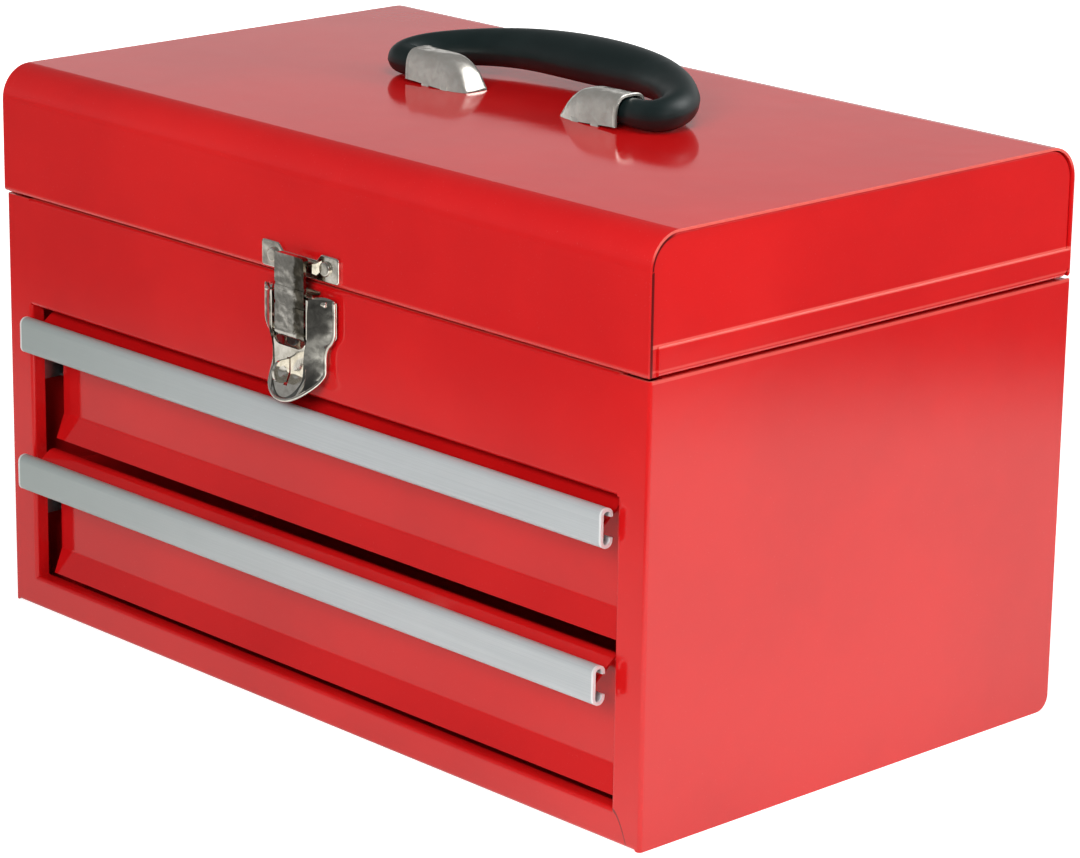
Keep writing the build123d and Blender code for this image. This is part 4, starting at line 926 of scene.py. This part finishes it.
@dataclass(frozen=True)
class PressedCap:
    """A pressed cap over one end of the handle: rolled mouth, crest, flared nose, tabs."""

    name: str
    node: str
    side: int
    centre_x: float = -0.3
    centre_y: float = 1.0
    mouth: float = 58.0
    length: float = 32.0
    sheet: float = 1.0
    lid_top: float = 219.2
    # how square the arch is at the mouth, and how much of that it loses by the nose
    squareness: float = 3.5
    rounding: float = 0.9
    # the rolled mouth, in place of the profile's first rows: share of the length, and how
    # far it stands out
    roll: tuple[tuple[float, float], ...] = (
        (0.0, -0.25),
        (0.008, 0.0),
        (0.03, 0.0),
        (0.05, -0.18),
    )
    roll_rows: int = 2
    least_gap: float = 0.1
    # tabs through the lid, bent over under it
    tab_shares: tuple[float, ...] = (0.35, 0.68)
    tab_wall: float = 8.0
    tab_half: float = 2.0
    tab_top: float = 1.6
    tab_bottom: float = -2.0
    tab_foot_top: float = -1.05
    tab_reach: float = 4.0
    tab_edge: float = 0.2
    sharp_from: float = 38.0
    sides: int = 44
    steps: int = 7
    # place along the cap, height, half width, lower edge above the lid
    profile: tuple[tuple[float, float, float, float], ...] = (
        (0.00, 12.95, 8.20, 1.20),
        (0.20, 12.95, 8.20, 0.95),
        (0.40, 12.95, 8.25, 0.60),
        (0.56, 12.85, 8.25, 0.30),
        (0.69, 12.00, 8.05, 0.12),
        (0.79, 10.20, 7.70, 0.05),
        (0.87, 7.90, 7.20, 0.05),
        (0.93, 5.20, 6.60, 0.05),
        (0.97, 2.90, 6.20, 0.05),
        (1.00, 1.35, 5.60, 0.05),
    )

    def arch(self, x: float, height: float, half: float, low: float, power: float) -> list[Vector]:
        """One arch across the cap.

        Args:
            x: Its place along the handle's axis, in millimetres.
            height: Its height above the lid.
            half: Half its width.
            low: Its feet's height above the lid.
            power: How square it is.

        Returns:
            Its points from the front foot to the rear one.
        """
        points = []
        for k in range(self.sides + 1):
            angle = math.pi * k / self.sides
            c, s = math.cos(angle), math.sin(angle)
            across = -math.copysign(abs(c) ** (2 / power), c) * half
            up = low + max(s, 0.0) ** (2 / power) * (height - low)
            points.append(Vector((x, self.centre_y + across, self.lid_top + up)) * MM)
        return points

    def rings(self) -> list[list[Vector]]:
        """Closed sections of the sheet from the mouth to the nose."""
        rows = smooth_rows(self.profile, self.steps)
        extra = [[t, *rows[0][1:]] for t, _ in self.roll]
        swell = [d for _, d in self.roll] + [self.roll[-1][1]] * len(rows)
        rings = []
        for (t, height, half, low), grow in zip(extra + rows[self.roll_rows :], swell):
            x = self.centre_x + self.side * (self.mouth - t * self.length)
            power = self.squareness - self.rounding * t
            last = t >= rows[-1][0]
            least = low + self.least_gap
            inner_top = least if last else max(height - self.sheet, least)
            outer = self.arch(x, height + grow, half + grow, low, power)
            inner = self.arch(x, inner_top, half - self.sheet, low, power)
            rings.append(outer + inner[::-1])
        return rings

    def add_tab(self, mesh: bmesh.types.BMesh, share: float, way: int) -> None:
        """Adds one tab: its upright wall, and its foot under the lid.

        Args:
            mesh: The cap's mesh.
            share: Its place along the cap.
            way: -1 at the front of the cap, 1 at the rear.
        """
        x = self.centre_x + self.side * (self.mouth - self.length * share)
        outer = self.centre_y + way * self.tab_wall
        inner = outer - way * self.sheet
        wall = (*sorted((outer, inner)), self.tab_bottom, self.tab_top)
        foot = (*sorted((inner, outer + way * self.tab_reach)), self.tab_bottom, self.tab_foot_top)
        for front, rear, bottom, top in (wall, foot):
            low = (x - self.tab_half, front, self.lid_top + bottom)
            high = (x + self.tab_half, rear, self.lid_top + top)
            ends = [tuple(c * MM for c in corner) for corner in (low, high)]
            add_block(mesh, *ends, self.tab_edge * MM)

    def build(self, finishes: Finishes) -> None:
        """Makes the cap, which stands for the CAD node.

        Args:
            finishes: The tool box's materials.
        """
        mesh = rings_to_mesh(self.rings())
        for share in self.tab_shares:
            for way in (-1, 1):
                self.add_tab(mesh, share, way)
        cap = new_piece(self.name, mesh)
        crisp(cap, self.sharp_from)
        finishes.dress(cap, Slot.NICKEL, finishes.cap)
        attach(cap, "lid")
        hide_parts(self.node)
        LOG.info("%s: %d faces", self.name, len(cap.data.polygons))


@dataclass(frozen=True)
class LeverTrim:
    """The latch lever's rolled rim and the web that joins it to the lever's face."""

    centre_x: float = 1.8
    axis_z: float = 163.3
    front_y: float = -108.5
    rim_radius: float = 0.72
    rim_sides: int = 14
    rim_end: float = 0.45
    rim_sharp_from: float = 50.0
    web: float = 0.28
    web_crown: float = 1.5
    web_back: float = 0.5
    web_sharp_from: float = 60.0
    steps: int = 6
    # half width of rim, height from the lever's pin, rim ahead of the case; the same of the face
    half: tuple[tuple[float, float, float, float, float, float], ...] = (
        (18.9, 1.6, 2.3, 10.9, 1.6, 7.1),
        (19.1, -3.0, 2.1, 10.7, -3.0, 7.6),
        (19.1, -8.0, 2.1, 10.6, -8.0, 7.6),
        (19.0, -11.6, 2.1, 10.6, -12.2, 7.6),
        (17.9, -14.2, 2.2, 10.2, -15.0, 7.6),
        (15.6, -17.0, 2.3, 9.2, -17.6, 7.6),
        (14.5, -20.2, 2.3, 8.7, -20.8, 7.6),
        (14.4, -24.0, 2.3, 8.6, -24.4, 7.7),
        (14.3, -27.2, 2.6, 8.6, -27.4, 7.9),
        (12.9, -30.4, 4.9, 8.2, -30.0, 8.4),
        (10.2, -33.4, 8.2, 6.8, -32.6, 9.5),
        (6.9, -35.7, 10.3, 4.8, -34.8, 10.4),
        (3.5, -37.1, 11.3, 2.4, -36.2, 11.0),
        (0.0, -37.5, 11.6, 0.0, -36.6, 11.2),
    )

    def rows(self) -> list[list[float]]:
        """Dense rows right round the lever, from its right shoulder to its left one."""
        left = [(-a, b, c, -d, e, f) for a, b, c, d, e, f in reversed(self.half[:-1])]
        return smooth_rows(list(self.half) + left, self.steps)

    def point(self, x: float, up: float, ahead: float) -> Vector:
        """A point of the lever in the model's frame.

        Args:
            x: Millimetres to the right of the latch's middle.
            up: Millimetres above the lever's pin.
            ahead: Millimetres ahead of the case's front.

        Returns:
            The point, in metres.
        """
        return Vector((self.centre_x + x, self.front_y - ahead, self.axis_z + up)) * MM

    def rim_rings(self, rim: list[Vector], face: list[Vector]) -> list[list[Vector]]:
        """The round sections of the rolled rim.

        Args:
            rim: The rim's middle line.
            face: The line of the lever's face beside it.

        Returns:
            The rings, finer at both ends.
        """
        rings = []
        for n, centre in enumerate(rim):
            along = (rim[min(n + 1, len(rim) - 1)] - rim[max(n - 1, 0)]).normalized()
            out = (centre - face[n]).normalized()
            out = (out - along * out.dot(along)).normalized()
            third = along.cross(out)
            radius = self.rim_radius * MM * (self.rim_end if n in (0, len(rim) - 1) else 1.0)
            ring = []
            for k in range(self.rim_sides):
                angle = 2 * math.pi * k / self.rim_sides
                spoke = out * math.cos(angle) + third * math.sin(angle)
                ring.append(centre + spoke * radius)
            rings.append(ring)
        return rings

    def web_rings(self, rim: list[Vector], face: list[Vector]) -> list[list[Vector]]:
        """The flat sections of the web, crowned towards the front.

        Args:
            rim: Its outer line.
            face: Its inner line.

        Returns:
            The rings.
        """
        lift = Vector((0, -self.web * MM, 0))
        crown, back = lift * self.web_crown, lift * self.web_back
        rings = []
        for a, b in zip(rim, face):
            middle = (a + b) / 2
            rings.append([a + lift, middle + crown, b + lift, b - back, middle, a - back])
        return rings

    def build(self, finishes: Finishes) -> None:
        """Makes the rim and the web, both on the lever.

        Args:
            finishes: The tool box's materials.
        """
        rows = self.rows()
        rim = [self.point(*row[:3]) for row in rows]
        face = [self.point(*row[3:]) for row in rows]
        trim = (
            ("lever_rolled_rim", self.rim_rings(rim, face), self.rim_sharp_from, None),
            ("lever_side_web", self.web_rings(rim, face), self.web_sharp_from, finishes.web),
        )
        for name, rings, angle, finish in trim:
            piece = new_piece(name, rings_to_mesh(rings))
            crisp(piece, angle)
            finishes.dress(piece, Slot.NICKEL, finish)
            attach(piece, "lever")
            LOG.info("%s: %d faces", name, len(piece.data.polygons))


@dataclass(frozen=True)
class CarryHandle:
    """The folding bail handle: its moulded rubber grip."""

    centre_x: float = -0.3 * MM
    axis_y: float = 1.0 * MM
    axis_z: float = 225.3 * MM
    tilt: float = math.radians(7.6)
    sides: int = 56
    steps: int = 6
    seam: float = 0.16 * MM
    path: tuple[tuple[float, float, float, float], ...] = (
        (46.0, 0.0, 5.3, 5.3),
        (52.0, 0.0, 5.3, 5.3),
        (58.0, 0.0, 5.3, 5.3),
        (64.5, 0.0, 5.8, 5.5),
        (69.6, 1.8, 6.5, 5.9),
        (71.2, 6.6, 6.9, 6.3),
        (69.2, 13.2, 7.1, 6.6),
        (64.2, 19.6, 7.2, 6.8),
        (56.2, 26.0, 7.7, 7.1),
        (45.5, 32.0, 8.6, 7.5),
        (32.0, 36.4, 10.0, 8.0),
        (16.0, 38.4, 11.6, 8.5),
        (0.0, 38.8, 12.3, 8.7),
    )

    def sections(self) -> list[list[float]]:
        """Dense rows along the whole grip: place along the axis, reach, half sizes."""
        rows = list(self.path) + [(-x, v, a, b) for x, v, a, b in reversed(self.path[:-1])]
        return smooth_rows(rows, self.steps)

    def ring(self, rows: list[list[float]], n: int) -> list[Vector]:
        """The points of one section.

        Args:
            rows: All sections.
            n: The section's number.

        Returns:
            The ring, with a fine mould seam on its inner and outer sides.
        """
        x, v, a, b = rows[n]
        before, after = rows[max(n - 1, 0)], rows[min(n + 1, len(rows) - 1)]
        run = Vector((after[0] - before[0], after[1] - before[1]))
        if n in (0, len(rows) - 1):
            run.y = 0.0
        run.normalize()
        c, s = math.cos(self.tilt), math.sin(self.tilt)
        up, level = Vector((0, -s, c)), Vector((0, c, s))
        across = Vector((-run.y, 0, 0)) + level * run.x
        centre = Vector((self.centre_x + x * MM, self.axis_y, self.axis_z)) + level * v * MM
        points = []
        for k in range(self.sides):
            angle = 2 * math.pi * k / self.sides
            bead = self.seam if k % (self.sides // 2) == 0 else 0.0
            spread = across * (a * MM + bead) * math.cos(angle)
            points.append(centre + spread + up * b * MM * math.sin(angle))
        return points

    def build(self, finishes: Finishes) -> None:
        """Makes the grip, which stands for the CAD node.

        Args:
            finishes: The tool box's materials.
        """
        rows = self.sections()
        grip = new_piece(
            "rubber_grip", rings_to_mesh(self.ring(rows, n) for n in range(len(rows)))
        )
        finishes.dress(grip, Slot.RUBBER)
        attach(grip, "handle")
        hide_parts("handle_grip")
        LOG.info("rubber_grip: %d faces", len(grip.data.polygons))


# ---- stage ----
@dataclass(frozen=True)
class Softbox:
    """A soft square lamp, which gloss shows only through the surroundings."""

    name: str
    place: Point
    target: Point
    size: float
    power: float

    def build(self) -> None:
        """Makes the lamp."""
        data = bpy.data.lights.new(self.name, "AREA")
        data.shape = "SQUARE"
        data.size = self.size
        data.energy = self.power
        made = bpy.data.objects.new(self.name, data)
        made.location = self.place
        made.rotation_mode = "QUATERNION"
        aim = Vector(self.target) - Vector(self.place)
        made.rotation_quaternion = aim.to_track_quat("-Z", "Y")
        made.visible_glossy = False
        made.visible_camera = False
        bpy.context.scene.collection.objects.link(made)


BOX_MIDDLE: Point = (0.0, 0.0, 0.1)


@dataclass(frozen=True)
class Studio:
    """Pale floor, soft lamps, surroundings and camera."""

    # floor: its colour, its lift for the camera, and a pool of painted light on it that only gloss
    # sees
    floor_half: float = 14.0
    floor_cells: int = 8
    floor_drop: float = 0.0003
    floor_tone: float = 0.86
    floor_lift: float = 0.72
    painted_pool_colour: Colour = (1.0, 0.975, 0.93)
    painted_pool_reach: Span = (0.52, 0.78)
    painted_pool_front: Span = (-0.52, -0.25)
    painted_pool_sunny: Span = (0.02, 0.26)
    painted_pool_left: float = 0.62
    painted_pool_gain: float = 0.84
    painted_pool_rest: float = 0.20
    # surroundings: diffuse light, and what gloss sees of a dark studio with a pale wall
    ambient: float = 0.20
    gloom: float = 0.13
    wall_way: Point = (-0.55, 0.83, 0.0)
    wall_turn: Span = (-0.25, 0.65)
    wall_top: Span = (0.14, 0.36)
    wall: float = 0.53
    # pale patches: their way, how tight they are, and their strength
    patches: tuple[tuple[Point, float, float], ...] = (
        ((-0.72, -0.66, 0.18), 5.0, 0.15),
        ((0.86, -0.18, 0.48), 30.0, 1.3),
        ((0.36, 0.65, 0.67), 16.0, 4.4),
    )
    lamps: tuple[Softbox, ...] = (
        Softbox("front_softbox", (0.79, -1.56, 0.85), BOX_MIDDLE, 0.7, 23.2),
        Softbox("side_softbox", (1.45, 0.9, 0.76), BOX_MIDDLE, 0.7, 15.6),
        Softbox("top_softbox", (0.35, -0.15, 0.75), (0.05, -0.05, 0.22), 0.3, 1.6),
        Softbox("rear_softbox", (-1.35, 0.95, 0.36), BOX_MIDDLE, 0.7, 8.0),
    )
    # camera, fitted to the case's corners in the photograph
    lens: float = 135.8
    sensor: float = 36.0
    clip: Span = (0.05, 60.0)
    eye: Point = (1.1005, -1.0320, 0.5377)
    azimuth: float = math.radians(46.506)
    elevation: float = math.radians(16.488)
    roll: float = math.radians(0.861)

    def floor(self) -> None:
        """A plain floor, white to the camera where no shadow falls on it; to gloss, a pool of
        painted light round the box, brighter to the right.
        """
        mesh = bmesh.new()
        cells = self.floor_cells
        bmesh.ops.create_grid(mesh, x_segments=cells, y_segments=cells, size=self.floor_half)
        floor = new_piece("studio_floor", mesh, smooth=False)
        floor.location.z = -self.floor_drop
        material = bpy.data.materials.new("pale_floor")
        material.use_nodes = True
        g = Graph(material.node_tree)
        path = g.node("ShaderNodeLightPath")
        camera = Value(g, path.outputs["Is Camera Ray"])
        glossy = Value(g, path.outputs["Is Glossy Ray"])
        x, y, _ = g.parts(g.node("ShaderNodeNewGeometry").outputs["Position"])
        # painted light: a glowing pool round the box for gloss, brighter to the right and dim
        # beyond
        near = 1.0 - ((x * x + y * y) ** 0.5).above(*self.painted_pool_reach)
        sunny = self.painted_pool_left + x.above(*self.painted_pool_sunny) * self.painted_pool_gain
        painted_pool = near * y.above(*self.painted_pool_front) * sunny + self.painted_pool_rest
        grey = (self.floor_tone,) * 3
        diffuse = g.node("ShaderNodeBsdfDiffuse", {"Color": grey})
        lift = g.node("ShaderNodeEmission", {"Strength": camera * self.floor_lift})
        both = g.node("ShaderNodeAddShader", {0: diffuse.outputs[0], 1: lift.outputs[0]})
        seen = g.node("ShaderNodeEmission", {"Color": self.painted_pool_colour, "Strength": painted_pool})
        mix = g.node("ShaderNodeMixShader", {0: glossy, 1: both.outputs[0], 2: seen.outputs[0]})
        g.node("ShaderNodeOutputMaterial", {"Surface": mix.outputs[0]})
        floor.data.materials.append(material)

    def surroundings(self) -> None:
        """White to the camera; to gloss and metal a studio with pale and dark sides."""
        world = bpy.data.worlds.new("studio_world")
        world.use_nodes = True
        bpy.context.scene.world = world
        g = Graph(world.node_tree)
        way = g.node("ShaderNodeTexCoord").outputs["Generated"]
        height = g.dot(way, (0.0, 0.0, 1.0))
        back = g.dot(way, self.wall_way).above(*self.wall_turn)
        low = 1.0 - height.above(*self.wall_top)
        sky = self.gloom + back * low * self.wall
        for towards, tightness, strength in self.patches:
            patch = g.dot(way, towards).math("MAXIMUM", 0.0) ** tightness
            sky = sky + patch * strength
        path = g.node("ShaderNodeLightPath")
        glossy = Value(g, path.outputs["Is Glossy Ray"])
        diffuse = Value(g, path.outputs["Is Diffuse Ray"])
        plain = (1.0 - glossy) * (1.0 - diffuse)
        strength = plain + glossy * sky + diffuse * self.ambient
        shader = g.node("ShaderNodeBackground", {"Color": (1.0, 1.0, 1.0), "Strength": strength})
        g.node("ShaderNodeOutputWorld", {"Surface": shader.outputs[0]})

    def camera(self) -> None:
        """The photograph's viewpoint."""
        a, e = self.azimuth, self.elevation
        back = Vector((math.sin(a) * math.cos(e), -math.cos(a) * math.cos(e), math.sin(e)))
        right = Vector((0, 0, 1)).cross(back).normalized()
        upward = back.cross(right)
        c, s = math.cos(self.roll), math.sin(self.roll)
        axes = (c * right + s * upward, c * upward - s * right, back)
        data = bpy.data.cameras.new("camera")
        data.sensor_fit = "AUTO"
        data.sensor_width = self.sensor
        data.lens = self.lens
        data.clip_start, data.clip_end = self.clip
        made = bpy.data.objects.new("camera", data)
        turned = Matrix([list(row) for row in zip(*axes)]).to_4x4()
        made.matrix_world = Matrix.Translation(Vector(self.eye)) @ turned
        bpy.context.scene.collection.objects.link(made)
        bpy.context.scene.camera = made

    def build(self) -> None:
        """Sets up floor, surroundings, lamps, camera and plain colours."""
        self.floor()
        self.surroundings()
        for lamp in self.lamps:
            lamp.build()
        self.camera()
        bpy.context.scene.view_settings.view_transform = "Standard"


def clear_startup() -> None:
    """Removes what Blender starts with, such as its cube."""
    kept = set(frame["nodes"].values()) | set(frame["bodies"].values())
    for thing in list(bpy.data.objects):
        if thing not in kept:
            bpy.data.objects.remove(thing)


def main() -> None:
    """Builds and dresses the tool box and its studio."""
    logging.basicConfig(level=logging.INFO, format="%(name)s: %(message)s")
    clear_startup()
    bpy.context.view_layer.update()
    finishes = Finishes()
    finishes.dress_nodes()
    CarryHandle().build(finishes)
    PressedCap("pressed_cap_left", "handle_cap_left", -1).build(finishes)
    PressedCap("pressed_cap_right", "handle_cap_right", 1).build(finishes)
    LeverTrim().build(finishes)
    Studio().build()


if __name__ == "__main__":
    main()
